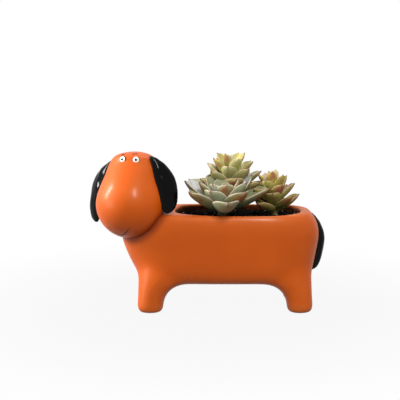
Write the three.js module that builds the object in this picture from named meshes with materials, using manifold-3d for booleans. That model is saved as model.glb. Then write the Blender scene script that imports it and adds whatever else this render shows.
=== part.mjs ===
// Dog-shaped planter cast in resin, with a planted trough in its back.
// Millimetres, +Z up. The dog stands along X with its tail towards +X and looks towards -Y.
import * as THREE from "three";
import { LoftGeometry } from "three/addons/geometries/LoftGeometry.js";
import { mergeVertices } from "three/addons/utils/BufferGeometryUtils.js";
import Module from "manifold-3d";

const wasm = await Module();
wasm.setup();

// Clearances
const SEAT_GAP = 0.3; // between pieces glued or laid on each other
const FIT_GAP = 0.3; // round a peg, plug or stem in its hole
const PROUD = 5; // how far a body that cuts a hole stands out of what it cuts

// Trough
const TROUGH_LENGTH = 116;
const TROUGH_WIDTH = 63;
const TROUGH_DRAFT = 3; // on each side, from the rim to the floor
const TROUGH_ROUND = 8; // between the floor and the walls
const TROUGH_SQUARENESS = 3; // of the plan: 2 is an ellipse, more is squarer

// Torso
const RIM_HEIGHT = 92;
const BELLY_HEIGHT = 26;
const FLOOR_WALL = 8;
const FLANK_LIP = 1.4; // flat of the rim along the flanks
const FLANK_BULGE = 5.1;
const FLANK_SHOULDER = 22; // height of the rounding below the rim
const FLANK_CORNER = 2; // the rounding is tightest this far below the rim
const BELLY_TUCK = 11; // how far the flanks turn in under the belly
const BELLY_ROUND = 20; // height of that turn
const RUMP_LIP = 7.5; // flat of the rim behind the trough
const RUMP_BULGE = 10.1;
const RUMP_BELOW_RIM = 25; // hindmost point of the rump
const RUMP_CORNER = 7; // the rump turns into the rim this far below it
const RUMP_FOOT = 2; // foot of the rump inside the back of the hind feet
const RUMP_HOLLOW = 3; // how far the rump draws in below its hindmost point
const CHEST_REACH = 50; // chest ahead of the trough
const CHEST_BELOW_RIM = 26; // foremost point of the chest
const CHEST_SETBACK = 8; // top of the chest behind its foremost point
const CHEST_CORNER = 4; // the chest turns into the rim this far below it
const CHEST_FOOT = 4; // foot of the chest inside the front of the front feet
const CHEST_HOLLOW = 6; // how far the chest draws in below its foremost point
const CHEST_SQUARENESS = 2.7; // of the front half of the plan
const RUMP_SQUARENESS = 3.4; // of the back half

// Legs
const FOOT_LENGTH = 24;
const FOOT_WIDTH = 24;
const FOOT_ROUND = 5;
const FOOT_SQUARENESS = 2.4;
const FRONT_FOOT_AHEAD = 34.6; // front of the front feet ahead of the trough
const HIND_FOOT_BEHIND = 11; // back of the hind feet behind the trough
const FOOT_INSET = 3; // outer side of the feet inside the flanks
const LEG_TOP = 56; // where the legs have sunk into the flanks
const LEG_LEAN = 18; // how far they lean in up to there
const LEG_PLUMB = 24; // how high their outer side is plumb
const LEG_CORNER = 6; // they turn inwards this far below their top
const ARCH_LENGTH = 22; // arch between leg and belly, along the body
const ARCH_WIDTH = 12; // arch between the left and right legs

// Neck
const NECK_LENGTH = 40;
const NECK_WIDTH = 46;
const NECK_BEHIND = 10; // foot of the neck behind the neck axis of the head
const NECK_SUNK = 8; // foot of the neck below the rim
const NECK_RISE = 32; // top of the neck above the rim
const NECK_TOP_RADIUS = 10;
const NECK_SPREAD = 14; // height over which the neck runs out into the shoulders

// Head, measured from the centre of the muzzle ball
const HEAD_AHEAD = 36.9; // neck axis ahead of the trough
const HEAD_SIDE = 6; // neck axis towards the viewer
const HEAD_TURN = 72; // degrees from straight ahead
const MUZZLE_RADIUS = 31.6;
const MUZZLE_REACH = 11.4; // ball centre ahead of the neck axis
const MUZZLE_ABOVE_RIM = 8;
const MUZZLE_ARC = 20; // degrees above the level up to which the muzzle is a ball in front
const CHEEK_ARC = 10; // and at its sides
const BRIDGE = [0.78, 0.8]; // bend above the muzzle, out and up, for each millimetre of its radius
const CHEEK = [0.91, 0.54]; // bend above the cheeks, likewise
const CROWN_HEIGHT = 46.5;
const CROWN_ROUND = 2; // how much the sides round into the crown
const SKULL_HEIGHT = 32; // where the skull is straight-sided
const SKULL_HALF_WIDTH = 24.2;
const SKULL_TAPER = [1, 10]; // bend below that height, out and down
const BROW_REACH = 17;
const BROW_HEIGHT = 42.5;
const BROW_SLOPE = [1.5, 7]; // bend below the brow, ahead and down
const BROW_ROUND = 2.5;
const NAPE_REACH = 18;
const NAPE_HEIGHT = 37;
const NAPE_FOOT = [3, 14]; // lower bend of the nape, behind and up
const NAPE_BULGE = [4, 30]; // upper bend of the nape, likewise
const NAPE_ROUND = 4;
const HEAD_WALL = 5;
const SPIGOT_RADIUS = 9;
const SPIGOT_SUNK = 26; // foot of the spigot below the rim
const SPIGOT_RISE = 6; // top of the spigot above the rim

// Ears
// An ear's taper lifts the bend of its back edge above the tip, and draws that of its front edge out and up.
const EARS = {
  left: { side: 1, top: 44.5, bottom: -7.5, tip: 20, taper: [2.5, 4, 3] }, // it hangs over the shoulder
  right: { side: -1, top: 38.5, bottom: -18.5, tip: 17, taper: [0, 0, 0] },
};
const EAR_TURN = 38.5; // degrees between the flap and the side of the head
const EAR_WIDEST = 31.8; // back edge of the flap from the neck axis
const EAR_WIDEST_HEIGHT = 11.5;
const EAR_SHOULDER = 10; // the back edge turns this far below the top
const EAR_FRONT = 11; // front edge of the flap from the neck axis
const EAR_FRONT_LEAN = 3; // how much further forward it is at the top
const EAR_TIP_WIDTH = 1;
const EAR_THICKNESS = 8;
const EAR_TOP_THICKNESS = 3.2;
const EAR_TIP_THICKNESS = 1.2;
const EAR_ROOT_OUT = 18; // face of the flap from the neck axis, at the top
const EAR_TIP_OUT = 31.5; // and at the tip
const EAR_BOW = 2; // how far the flap bows in between
const PEG_RADIUS = 2;
const PEG_DEPTH = 3.4; // of the pegs of ears and tail in the casting
const PEG_RISE = 2.8; // of the pegs into ears and tail
const EAR_PEGS_UP = [13, 33]; // pegs above the tip of the ear
const EAR_PEG_AHEAD = 12;

// Eyes
const EYE_RADIUS = 2.9;
const EYE_SPACING = 12.75;
const EYE_SIDE = 1.2; // middle of the eyes towards the dog's left
const EYE_HEIGHT = 41.3;
const EYE_UP = 14; // degrees by which the eyes look up
const EYE_SINK = 3;
const EYE_DOME = 1.3;
const EYE_BEVEL = 0.4; // how much short of its edge the dome ends
const PUPIL_RADIUS = 1.2;
const PUPIL_SINK = 1.1;
const PUPIL_DOME = 0.5;
const PUPIL_BEVEL = 0.7; // share of the bead's radius and dome at its bevel

// Tail
const TAIL_BELOW_RIM = 3;
const TAIL_LENGTH = 54.5;
const TAIL_WIDEST_DOWN = 25; // widest place below the top of the tail
const TAIL_THICKNESS = 6; // beyond the rump
const TAIL_SHOULDER = [6, 11]; // top of its outer edge inside the rump, and the bend below the top
const TAIL_SEAT = [7.5, 5, 10]; // how far the seat lies inside the rump at the tip, middle and top
const TAIL_TIP = 4.1; // tip of its outer edge inside the rump
const TAIL_DRAW = [2.1, 3.5]; // bend above the tip, inside the hindmost point and up
const TAIL_WIDTH = 14;
const TAIL_TOP_WIDTH = 4;
const TAIL_TOP_ROUND = 5;
const TAIL_TIP_WIDTH = 1.2;
const TAIL_PEGS_DOWN = [17, 37]; // pegs below the top of the tail

// Drain
const DRAIN_RADIUS = 5.6;
const PLUG_FLANGE_RADIUS = 9;
const PLUG_FLANGE_THICKNESS = 2;
const PLUG_KNOB_RADIUS = 3;
const PLUG_KNOB_LENGTH = 2;
const SCREEN_RADIUS = 12;
const SCREEN_THICKNESS = 0.8;
const SCREEN_PITCH = 3.8;
const SCREEN_HOLE = 2.4;

// Planting
const GRAVEL_DEPTH = 12;
const SOIL_BELOW_RIM = 6;
const ROOT_DEPTH = 14;
const LEAF_FLESH = 0.26; // thickness of a leaf for each millimetre of its width
const LEAF_KEEL = 0.65; // share of the thickness below the middle of the leaf
const LEAF_CURL = 0.17; // how far a tip curls in, for each millimetre of leaf
const LEAF_WIDEST = 0.62; // share of the length up to the widest place
const LEAF_SWELL = 0.28; // the edge swells at this share of the length
const LEAF_SHOULDER = 0.9; // and rounds to the tip at this share
const LEAF_FOOT = 0.2; // half width at the foot, for each millimetre of width
const LEAF_TIP = 0.06; // half width at the tip, likewise
const LEAF_BLUNT = 1.02; // the flesh would run out at this share of the length
const LEAF_RINGS = [0.3, 0.6, 0.84]; // rings between foot and tip, as shares of the length

// Succulents: leaves follow each other round the stem by the golden angle, from the youngest in the
// middle to the oldest outside. Pairs run from the youngest leaf to the oldest. A plant leans towards
// the viewer and towards the tail, in degrees. Its ease is how soon the leaves open from the middle
// outwards, 1 for evenly, and how soon they reach their full size.
const GOLDEN_ANGLE = 137.508;
const PLANTS = {
  front_succulent: {
    x: -14, y: -7, lean: [9, 0], stem: 4, color: 0x8fa79a, leaves: 25, start: 210, ease: [0.8, 0.65],
    tilt: [12, 75], length: [11, 48], width: [8, 25], height: [11, 7.5],
  },
  back_succulent: {
    x: -5.5, y: 15, lean: [3, 0], stem: 4, color: 0xa9b04c, leaves: 24, start: 100, ease: [0.3, 0.4],
    tilt: [14, 70], length: [15, 36], width: [8, 18], height: [40, 12],
  },
  right_succulent: {
    x: 35, y: 2, lean: [4, -7], stem: 3, color: 0xb0a85a, leaves: 21, start: 140, ease: [0.4, 0.4],
    tilt: [12, 74], length: [17, 28], width: [8, 15], height: [25, 4],
  },
};

const RESIN = { color: 0xc4531c, roughness: 0.45, metalness: 0 };
const GLOSS_BLACK = { color: 0x0c0c0d, roughness: 0.12, metalness: 0 };
const WHITE = { color: 0xeceae4, roughness: 0.3, metalness: 0 };
const RUBBER = { color: 0x3a3a3a, roughness: 0.8, metalness: 0 };
const MESH_GREY = { color: 0x8c8f90, roughness: 0.6, metalness: 0 };
const STONE = { color: 0x9a938a, roughness: 0.9, metalness: 0 };
const SOIL = { color: 0x221a15, roughness: 1, metalness: 0 };

const FLOOR_HEIGHT = BELLY_HEIGHT + FLOOR_WALL;
const RUMP_HEIGHT = RIM_HEIGHT - RUMP_BELOW_RIM;
const CHEST_HEIGHT = RIM_HEIGHT - CHEST_BELOW_RIM;
const NECK_FOOT = RIM_HEIGHT - NECK_SUNK;
const NECK_TOP = RIM_HEIGHT + NECK_RISE;
const MUZZLE_HEIGHT = RIM_HEIGHT + MUZZLE_ABOVE_RIM;
const TAIL_TOP = RIM_HEIGHT - TAIL_BELOW_RIM;
const TAIL_BOTTOM = TAIL_TOP - TAIL_LENGTH;
const TAIL_WIDEST_HEIGHT = TAIL_TOP - TAIL_WIDEST_DOWN;
const TROUGH_END = TROUGH_LENGTH / 2;
const FLANK = TROUGH_WIDTH / 2 + FLANK_LIP + FLANK_BULGE;
const RUMP = TROUGH_END + RUMP_LIP + RUMP_BULGE;
const CHEST = -(TROUGH_END + CHEST_REACH);
const FRONT_FOOT = -(TROUGH_END + FRONT_FOOT_AHEAD);
const HIND_FOOT = TROUGH_END + HIND_FOOT_BEHIND;
const HEAD_X = -(TROUGH_END + HEAD_AHEAD);
const GRAVEL_TOP = FLOOR_HEIGHT + GRAVEL_DEPTH;
const SOIL_TOP = RIM_HEIGHT - SOIL_BELOW_RIM;

// Heights

function domed(from, to, count) {
  return Array.from({ length: count + 1 }, (_, i) => {
    const share = (1 - Math.cos((Math.PI * (i + 0.25)) / (count + 0.5))) / 2;
    return THREE.MathUtils.lerp(from, to, share);
  });
}

function slowing(from, to, count) {
  return Array.from({ length: count + 1 }, (_, i) => {
    return THREE.MathUtils.lerp(from, to, Math.sin((Math.PI / 2) * (i / count)));
  });
}

function even(from, to, count) {
  return Array.from({ length: count + 1 }, (_, i) => THREE.MathUtils.lerp(from, to, i / count));
}

// A drawn outline as a function from height to distance.
function outline(path) {
  const points = path.getSpacedPoints(160);
  return (height) => {
    const next = points.findIndex((point) => point.y >= height);
    if (next === 0) return points[0].x;
    if (next < 0) return points[points.length - 1].x;
    const [a, b] = [points[next - 1], points[next]];
    return THREE.MathUtils.lerp(a.x, b.x, (height - a.y) / (b.y - a.y));
  };
}

// Solids

// One level ring that fills a rectangle, squared off as much at its left as at its right or not.
function ring(left, right, near, far, z, [leftSquareness, rightSquareness], sides) {
  return Array.from({ length: sides }, (_, i) => {
    const angle = ((i + 0.5) / sides) * 2 * Math.PI;
    const [c, s] = [Math.cos(angle), Math.sin(angle)];
    const squareness = c < 0 ? leftSquareness : rightSquareness;
    const u = Math.sign(c) * Math.abs(c) ** (2 / squareness);
    const v = Math.sign(s) * Math.abs(s) ** (2 / squareness);
    return new THREE.Vector3(
      (left + right + u * (right - left)) / 2,
      (near + far + v * (far - near)) / 2,
      z,
    );
  });
}

// A body skinned over level rings between four outlines.
function stack(levels, { left, right, near, far, squareness = [2, 2], sides = 32 }) {
  const sections = levels.map((z) => ring(left(z), right(z), near(z), far(z), z, squareness, sides));
  const skin = new LoftGeometry(sections, { capStart: true, capEnd: true });
  return new THREE.BufferGeometry().copy(skin);
}

function rod(radius, from, to, sides = 20) {
  const geometry = new THREE.CylinderGeometry(radius, radius, to - from, sides);
  return geometry.rotateX(Math.PI / 2).translate(0, 0, (from + to) / 2);
}

function turned(points, sides = 24) {
  const profile = points.map(([radius, z]) => new THREE.Vector2(radius, z));
  return new THREE.LatheGeometry(profile, sides).rotateX(Math.PI / 2);
}

function toSolid(geometry) {
  const bare = geometry.clone();
  bare.deleteAttribute("normal");
  bare.deleteAttribute("uv");
  const merged = mergeVertices(bare, 1e-4);
  const mesh = new wasm.Mesh({
    numProp: 3,
    vertProperties: new Float32Array(merged.attributes.position.array),
    triVerts: new Uint32Array(merged.index.array),
  });
  mesh.merge();
  return new wasm.Manifold(mesh);
}

function toGeometry(solid) {
  const mesh = solid.getMesh();
  const geometry = new THREE.BufferGeometry();
  geometry.setAttribute("position", new THREE.BufferAttribute(mesh.vertProperties, 3));
  geometry.setIndex(new THREE.BufferAttribute(mesh.triVerts, 1));
  return geometry;
}

function join(...geometries) {
  return toGeometry(geometries.map(toSolid).reduce((whole, next) => whole.add(next)));
}

function cut(geometry, ...tools) {
  const solid = tools.map(toSolid).reduce((rest, tool) => rest.subtract(tool), toSolid(geometry));
  const pieces = solid.decompose();
  return toGeometry(pieces.reduce((a, b) => (a.volume() >= b.volume() ? a : b)));
}

// The same body, larger on every side by the given amount or smaller by a negative one.
function grown(geometry, amount) {
  geometry.computeBoundingBox();
  const middle = geometry.boundingBox.getCenter(new THREE.Vector3());
  const size = geometry.boundingBox.getSize(new THREE.Vector3());
  const scale = new THREE.Vector3(1, 1, 1).addScaledVector(
    new THREE.Vector3(1 / size.x, 1 / size.y, 1 / size.z), 2 * amount,
  );
  return geometry.clone().translate(-middle.x, -middle.y, -middle.z)
    .scale(scale.x, scale.y, scale.z).translate(middle.x, middle.y, middle.z);
}

const planter = new THREE.Group();

function addPiece(parent, name, geometry, finish) {
  const bare = geometry.clone();
  bare.deleteAttribute("normal");
  bare.deleteAttribute("uv");
  const mesh = new THREE.Mesh(mergeVertices(bare, 1e-4), new THREE.MeshStandardMaterial(finish));
  mesh.geometry.computeVertexNormals();
  mesh.name = name;
  parent.add(mesh);
  return mesh;
}

// Torso, legs and neck

const chestLine = outline(new THREE.Path()
  .moveTo(FRONT_FOOT + CHEST_FOOT, BELLY_HEIGHT)
  .quadraticCurveTo(CHEST + CHEST_HOLLOW, (BELLY_HEIGHT + CHEST_HEIGHT) / 2, CHEST, CHEST_HEIGHT)
  .quadraticCurveTo(CHEST, RIM_HEIGHT - CHEST_CORNER, CHEST + CHEST_SETBACK, RIM_HEIGHT));
const rumpLine = outline(new THREE.Path()
  .moveTo(HIND_FOOT - RUMP_FOOT, BELLY_HEIGHT)
  .quadraticCurveTo(RUMP - RUMP_HOLLOW, (BELLY_HEIGHT + RUMP_HEIGHT) / 2, RUMP, RUMP_HEIGHT)
  .quadraticCurveTo(RUMP, RIM_HEIGHT - RUMP_CORNER, RUMP - RUMP_BULGE, RIM_HEIGHT));
const flankLine = outline(new THREE.Path()
  .moveTo(FLANK - BELLY_TUCK, BELLY_HEIGHT)
  .quadraticCurveTo(FLANK, BELLY_HEIGHT, FLANK, BELLY_HEIGHT + BELLY_ROUND)
  .lineTo(FLANK, RIM_HEIGHT - FLANK_SHOULDER)
  .quadraticCurveTo(FLANK, RIM_HEIGHT - FLANK_CORNER, FLANK - FLANK_BULGE, RIM_HEIGHT));

function torso(extra) {
  return stack(domed(BELLY_HEIGHT, RIM_HEIGHT, 12), {
    left: (z) => chestLine(z) - extra,
    right: (z) => rumpLine(z) + extra,
    near: (z) => -flankLine(z) - extra,
    far: (z) => flankLine(z) + extra,
    squareness: [CHEST_SQUARENESS, RUMP_SQUARENESS],
    sides: 48,
  });
}

// The inner edge of a leg rises from a rounded foot and sweeps over into the belly.
function archLine(foot, arch) {
  return outline(new THREE.Path()
    .moveTo(foot - FOOT_ROUND, 0)
    .quadraticCurveTo(foot, 0, foot, FOOT_ROUND)
    .absellipse(foot + arch, FOOT_ROUND, arch, BELLY_HEIGHT - FOOT_ROUND, Math.PI, Math.PI / 2, true)
    .lineTo(foot + arch, LEG_TOP));
}

// The outer edge stands plumb over the foot and leans into the flank above the belly.
const outerLine = outline(new THREE.Path()
  .moveTo(FOOT_ROUND, 0)
  .quadraticCurveTo(0, 0, 0, FOOT_ROUND)
  .lineTo(0, LEG_PLUMB)
  .quadraticCurveTo(0, LEG_TOP - LEG_CORNER, LEG_LEAN, LEG_TOP));
const legLevels = [
  0, FOOT_ROUND * 0.15, FOOT_ROUND * 0.5,
  ...slowing(FOOT_ROUND, BELLY_HEIGHT, 6),
  ...even(BELLY_HEIGHT, LEG_TOP, 7).slice(1),
];

function leg(outerX, inwards, side) {
  const innerX = archLine(FOOT_LENGTH, ARCH_LENGTH);
  const innerY = archLine(FOOT_WIDTH, ARCH_WIDTH);
  const outerY = side * (FLANK - FOOT_INSET);
  const x = [(z) => outerX + inwards * outerLine(z), (z) => outerX + inwards * innerX(z)];
  const y = [(z) => outerY - side * outerLine(z), (z) => outerY - side * innerY(z)];
  const [left, right] = inwards > 0 ? x : x.reverse();
  const [near, far] = side < 0 ? y : y.reverse();
  const squareness = [FOOT_SQUARENESS, FOOT_SQUARENESS];
  return stack(legLevels, { left, right, near, far, squareness, sides: 26 });
}

// The neck narrows from the shoulders into the head, and leans to where the head is set.
const neckShare = outline(new THREE.Path()
  .moveTo(0, NECK_FOOT)
  .quadraticCurveTo(0.5, NECK_FOOT + NECK_SPREAD, 1, NECK_TOP));
const neckX = (z) => HEAD_X + NECK_BEHIND * (1 - neckShare(z));
const neckY = (z) => -HEAD_SIDE * neckShare(z);
const neckLength = (z) => THREE.MathUtils.lerp(NECK_LENGTH / 2, NECK_TOP_RADIUS, neckShare(z));
const neckWidth = (z) => THREE.MathUtils.lerp(NECK_WIDTH / 2, NECK_TOP_RADIUS, neckShare(z));
const neck = stack(slowing(NECK_FOOT, NECK_TOP, 8), {
  left: (z) => neckX(z) - neckLength(z),
  right: (z) => neckX(z) + neckLength(z),
  near: (z) => neckY(z) - neckWidth(z),
  far: (z) => neckY(z) + neckWidth(z),
});

function troughLine(half) {
  const floor = half - TROUGH_DRAFT;
  return outline(new THREE.Path()
    .moveTo(floor - TROUGH_ROUND, FLOOR_HEIGHT)
    .quadraticCurveTo(floor, FLOOR_HEIGHT, floor, FLOOR_HEIGHT + TROUGH_ROUND)
    .lineTo(half, RIM_HEIGHT)
    .lineTo(half, RIM_HEIGHT + PROUD));
}

const troughX = troughLine(TROUGH_END);
const troughY = troughLine(TROUGH_WIDTH / 2);

// What fills the trough between the given levels, kept off its walls and floor by a gap.
function filling(levels, gap) {
  return stack(levels, {
    left: (z) => gap - troughX(z - gap),
    right: (z) => troughX(z - gap) - gap,
    near: (z) => gap - troughY(z - gap),
    far: (z) => troughY(z - gap) - gap,
    squareness: [TROUGH_SQUARENESS, TROUGH_SQUARENESS],
    sides: 40,
  });
}

const troughCurve = slowing(FLOOR_HEIGHT + TROUGH_ROUND, FLOOR_HEIGHT, 3).reverse();
const trough = filling([...troughCurve, RIM_HEIGHT, RIM_HEIGHT + PROUD], 0);

// Head

const muzzleArc = THREE.MathUtils.degToRad(MUZZLE_ARC);
const cheekArc = THREE.MathUtils.degToRad(CHEEK_ARC);
const headFront = outline(new THREE.Path()
  .moveTo(MUZZLE_REACH, -MUZZLE_RADIUS)
  .absarc(MUZZLE_REACH, 0, MUZZLE_RADIUS, -Math.PI / 2, muzzleArc, false)
  .bezierCurveTo(
    MUZZLE_REACH + MUZZLE_RADIUS * BRIDGE[0], MUZZLE_RADIUS * BRIDGE[1],
    BROW_REACH + BROW_SLOPE[0], BROW_HEIGHT - BROW_SLOPE[1],
    BROW_REACH, BROW_HEIGHT,
  )
  .quadraticCurveTo(BROW_REACH - BROW_ROUND, CROWN_HEIGHT, 0, CROWN_HEIGHT));
const headBack = outline(new THREE.Path()
  .moveTo(MUZZLE_REACH, -MUZZLE_RADIUS)
  .absarc(MUZZLE_REACH, 0, MUZZLE_RADIUS, -Math.PI / 2, -Math.PI, true)
  .bezierCurveTo(
    -NAPE_REACH - NAPE_FOOT[0], NAPE_FOOT[1],
    -NAPE_REACH - NAPE_BULGE[0], NAPE_BULGE[1],
    -NAPE_REACH, NAPE_HEIGHT,
  )
  .quadraticCurveTo(NAPE_ROUND - NAPE_REACH, CROWN_HEIGHT, 0, CROWN_HEIGHT));
const headSide = outline(new THREE.Path()
  .moveTo(0, -MUZZLE_RADIUS)
  .absarc(0, 0, MUZZLE_RADIUS, -Math.PI / 2, cheekArc, false)
  .bezierCurveTo(
    MUZZLE_RADIUS * CHEEK[0], MUZZLE_RADIUS * CHEEK[1],
    SKULL_HALF_WIDTH + SKULL_TAPER[0], SKULL_HEIGHT - SKULL_TAPER[1],
    SKULL_HALF_WIDTH, SKULL_HEIGHT,
  )
  .quadraticCurveTo(SKULL_HALF_WIDTH - CROWN_ROUND, CROWN_HEIGHT, 0, CROWN_HEIGHT));

// The head without a layer of the given thickness.
function headSolid(layer, levels, sides) {
  return stack(domed(layer - MUZZLE_RADIUS, CROWN_HEIGHT - layer, levels), {
    left: (z) => headBack(z) + layer,
    right: (z) => headFront(z) - layer,
    near: (z) => layer - headSide(z),
    far: (z) => headSide(z) - layer,
    sides,
  });
}

const headSkin = headSolid(0, 18, 36);
const headHollow = headSolid(HEAD_WALL, 10, 18);

// Distance of the face ahead of the neck axis, and of the cheek from the middle.
function faceAt(y, z) {
  const [middle, half] = [(headFront(z) + headBack(z)) / 2, (headFront(z) - headBack(z)) / 2];
  return middle + half * Math.sqrt(1 - (y / headSide(z)) ** 2);
}

function cheekAt(x, z) {
  const [middle, half] = [(headFront(z) + headBack(z)) / 2, (headFront(z) - headBack(z)) / 2];
  return headSide(z) * Math.sqrt(1 - ((x - middle) / half) ** 2);
}

const head = new THREE.Group();
head.position.set(HEAD_X, -HEAD_SIDE, MUZZLE_HEIGHT);
head.rotation.z = THREE.MathUtils.degToRad(180 + HEAD_TURN);
head.updateMatrix();
planter.add(head);
const toHead = head.matrix.clone().invert();

const [spigotFoot, spigotTop] = [RIM_HEIGHT - SPIGOT_SUNK, RIM_HEIGHT + SPIGOT_RISE];
const spigot = rod(SPIGOT_RADIUS, spigotFoot, spigotTop).translate(HEAD_X, 0, 0);
const spigotHole = rod(SPIGOT_RADIUS + FIT_GAP, spigotFoot, spigotTop + SEAT_GAP)
  .translate(HEAD_X, 0, 0).applyMatrix4(toHead);

function eyePlace(side) {
  const [y, step] = [EYE_SIDE + (side * EYE_SPACING) / 2, 0.5];
  const slopeY = (faceAt(y + step, EYE_HEIGHT) - faceAt(y - step, EYE_HEIGHT)) / (2 * step);
  const up = THREE.MathUtils.degToRad(EYE_UP);
  const level = new THREE.Vector3(1, -slopeY, 0).normalize();
  const out = level.multiplyScalar(Math.cos(up)).setZ(Math.sin(up));
  const turn = new THREE.Quaternion().setFromUnitVectors(new THREE.Vector3(0, 0, 1), out);
  const point = new THREE.Vector3(faceAt(y, EYE_HEIGHT), y, EYE_HEIGHT);
  return new THREE.Matrix4().compose(point, turn, new THREE.Vector3(1, 1, 1));
}

// Pegs that point inwards through the cheek.
function earPegs({ side, bottom }, radius, depth, height) {
  return EAR_PEGS_UP.map((up) => {
    const z = bottom + up;
    const cheek = cheekAt(EAR_PEG_AHEAD, z);
    const peg = rod(radius, cheek - depth, cheek + height, 12);
    return peg.rotateX((-side * Math.PI) / 2).translate(EAR_PEG_AHEAD, 0, z);
  });
}

const earHoles = Object.values(EARS).flatMap((ear) => earPegs(ear, PEG_RADIUS + FIT_GAP, PEG_DEPTH, PROUD));
const eyeHoles = Object.values(EARS).map(({ side }) =>
  rod(EYE_RADIUS + FIT_GAP, -EYE_SINK, PROUD).applyMatrix4(eyePlace(side)));
const headShell = cut(headSkin, headHollow, spigotHole, ...earHoles, ...eyeHoles);
addPiece(head, "head", headShell, RESIN);

const headSeat = grown(headSkin, SEAT_GAP);

// Ears

function flap({ side, top, bottom, tip, taper }) {
  const back = outline(new THREE.Path()
    .moveTo(tip + EAR_TIP_WIDTH / 2, bottom)
    .quadraticCurveTo(EAR_WIDEST, bottom + taper[0], EAR_WIDEST, EAR_WIDEST_HEIGHT)
    .quadraticCurveTo(EAR_WIDEST, top - EAR_SHOULDER, EAR_FRONT, top));
  const front = outline(new THREE.Path()
    .moveTo(tip - EAR_TIP_WIDTH / 2, bottom)
    .quadraticCurveTo(EAR_FRONT + taper[1], bottom + taper[2], EAR_FRONT, EAR_WIDEST_HEIGHT)
    .lineTo(EAR_FRONT - EAR_FRONT_LEAN, top));
  const half = outline(new THREE.Path()
    .moveTo(EAR_TIP_THICKNESS / 2, bottom)
    .quadraticCurveTo(EAR_THICKNESS / 2, bottom, EAR_THICKNESS / 2, EAR_WIDEST_HEIGHT)
    .quadraticCurveTo(EAR_THICKNESS / 2, top, EAR_TOP_THICKNESS / 2, top));
  const face = outline(new THREE.Path()
    .moveTo(EAR_TIP_OUT, bottom)
    .quadraticCurveTo(EAR_TIP_OUT - EAR_BOW, (top + bottom) / 2, EAR_ROOT_OUT, top));
  const mirrored = [(z) => -back(z), (z) => -front(z)];
  const [near, far] = side > 0 ? [front, back] : mirrored;
  return stack(domed(bottom, top, 12), {
    left: (z) => face(z) - half(z),
    right: (z) => face(z) + half(z),
    near,
    far,
    sides: 18,
  }).rotateZ(THREE.MathUtils.degToRad(side * EAR_TURN));
}

for (const [name, ear] of Object.entries(EARS)) {
  const pegs = earPegs(ear, PEG_RADIUS, PEG_DEPTH - FIT_GAP, PEG_RISE);
  addPiece(head, `${name}_ear`, join(cut(flap(ear), headSeat), ...pegs), GLOSS_BLACK);
}

// Eyes

function dome(radius, height, from, count) {
  return even(from, radius, count).map((r) => [r, height * Math.sqrt(1 - (r / (radius + EYE_BEVEL)) ** 2)]);
}

const pupilFloor = EYE_DOME - PUPIL_SINK;
const eyeButton = turned([
  [0, SEAT_GAP - EYE_SINK], [EYE_RADIUS, SEAT_GAP - EYE_SINK],
  ...dome(EYE_RADIUS, EYE_DOME, PUPIL_RADIUS + FIT_GAP, 4).reverse(),
  [PUPIL_RADIUS + FIT_GAP, pupilFloor], [0, pupilFloor],
], 16);
const pupilBead = turned([
  [0, pupilFloor + SEAT_GAP], [PUPIL_RADIUS, pupilFloor + SEAT_GAP], [PUPIL_RADIUS, EYE_DOME],
  [PUPIL_RADIUS * PUPIL_BEVEL, EYE_DOME + PUPIL_DOME * PUPIL_BEVEL], [0, EYE_DOME + PUPIL_DOME],
], 12);
for (const [name, { side }] of Object.entries(EARS)) {
  addPiece(head, `${name}_eye`, eyeButton.clone().applyMatrix4(eyePlace(side)), WHITE);
  addPiece(head, `${name}_pupil`, pupilBead.clone().applyMatrix4(eyePlace(side)), GLOSS_BLACK);
}

// Tail

const tailBack = RUMP + TAIL_THICKNESS;
const tailHalf = TAIL_WIDTH / 2;
const tailOuter = outline(new THREE.Path()
  .moveTo(RUMP - TAIL_TIP, TAIL_BOTTOM)
  .quadraticCurveTo(tailBack - TAIL_DRAW[0], TAIL_BOTTOM + TAIL_DRAW[1], tailBack, TAIL_WIDEST_HEIGHT)
  .quadraticCurveTo(tailBack, TAIL_TOP - TAIL_SHOULDER[1], RUMP - TAIL_SHOULDER[0], TAIL_TOP));
const tailInner = outline(new THREE.Path()
  .moveTo(RUMP - TAIL_SEAT[0], TAIL_BOTTOM)
  .quadraticCurveTo(RUMP - TAIL_SEAT[1], TAIL_WIDEST_HEIGHT, RUMP - TAIL_SEAT[2], TAIL_TOP));
const tailHalfWidth = outline(new THREE.Path()
  .moveTo(TAIL_TIP_WIDTH / 2, TAIL_BOTTOM)
  .quadraticCurveTo(tailHalf, TAIL_BOTTOM, tailHalf, TAIL_WIDEST_HEIGHT)
  .quadraticCurveTo(tailHalf, TAIL_TOP - TAIL_TOP_ROUND, TAIL_TOP_WIDTH / 2, TAIL_TOP));
const tailDrop = stack(domed(TAIL_BOTTOM, TAIL_TOP, 14), {
  left: tailInner,
  right: tailOuter,
  near: (z) => -tailHalfWidth(z),
  far: tailHalfWidth,
  sides: 18,
});

function tailPeg(z, radius, depth, height) {
  const rump = rumpLine(z);
  return rod(radius, rump - depth, rump + height, 12).rotateY(Math.PI / 2).translate(0, 0, z);
}

const tailPegHeights = TAIL_PEGS_DOWN.map((down) => TAIL_TOP - down);
const tailPegs = tailPegHeights.map((z) => tailPeg(z, PEG_RADIUS, PEG_DEPTH - FIT_GAP, PEG_RISE));
const tailHoles = tailPegHeights.map((z) => tailPeg(z, PEG_RADIUS + FIT_GAP, PEG_DEPTH, PROUD));
addPiece(planter, "tail", join(cut(tailDrop, torso(SEAT_GAP)), ...tailPegs), GLOSS_BLACK);

// Pot body

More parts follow.
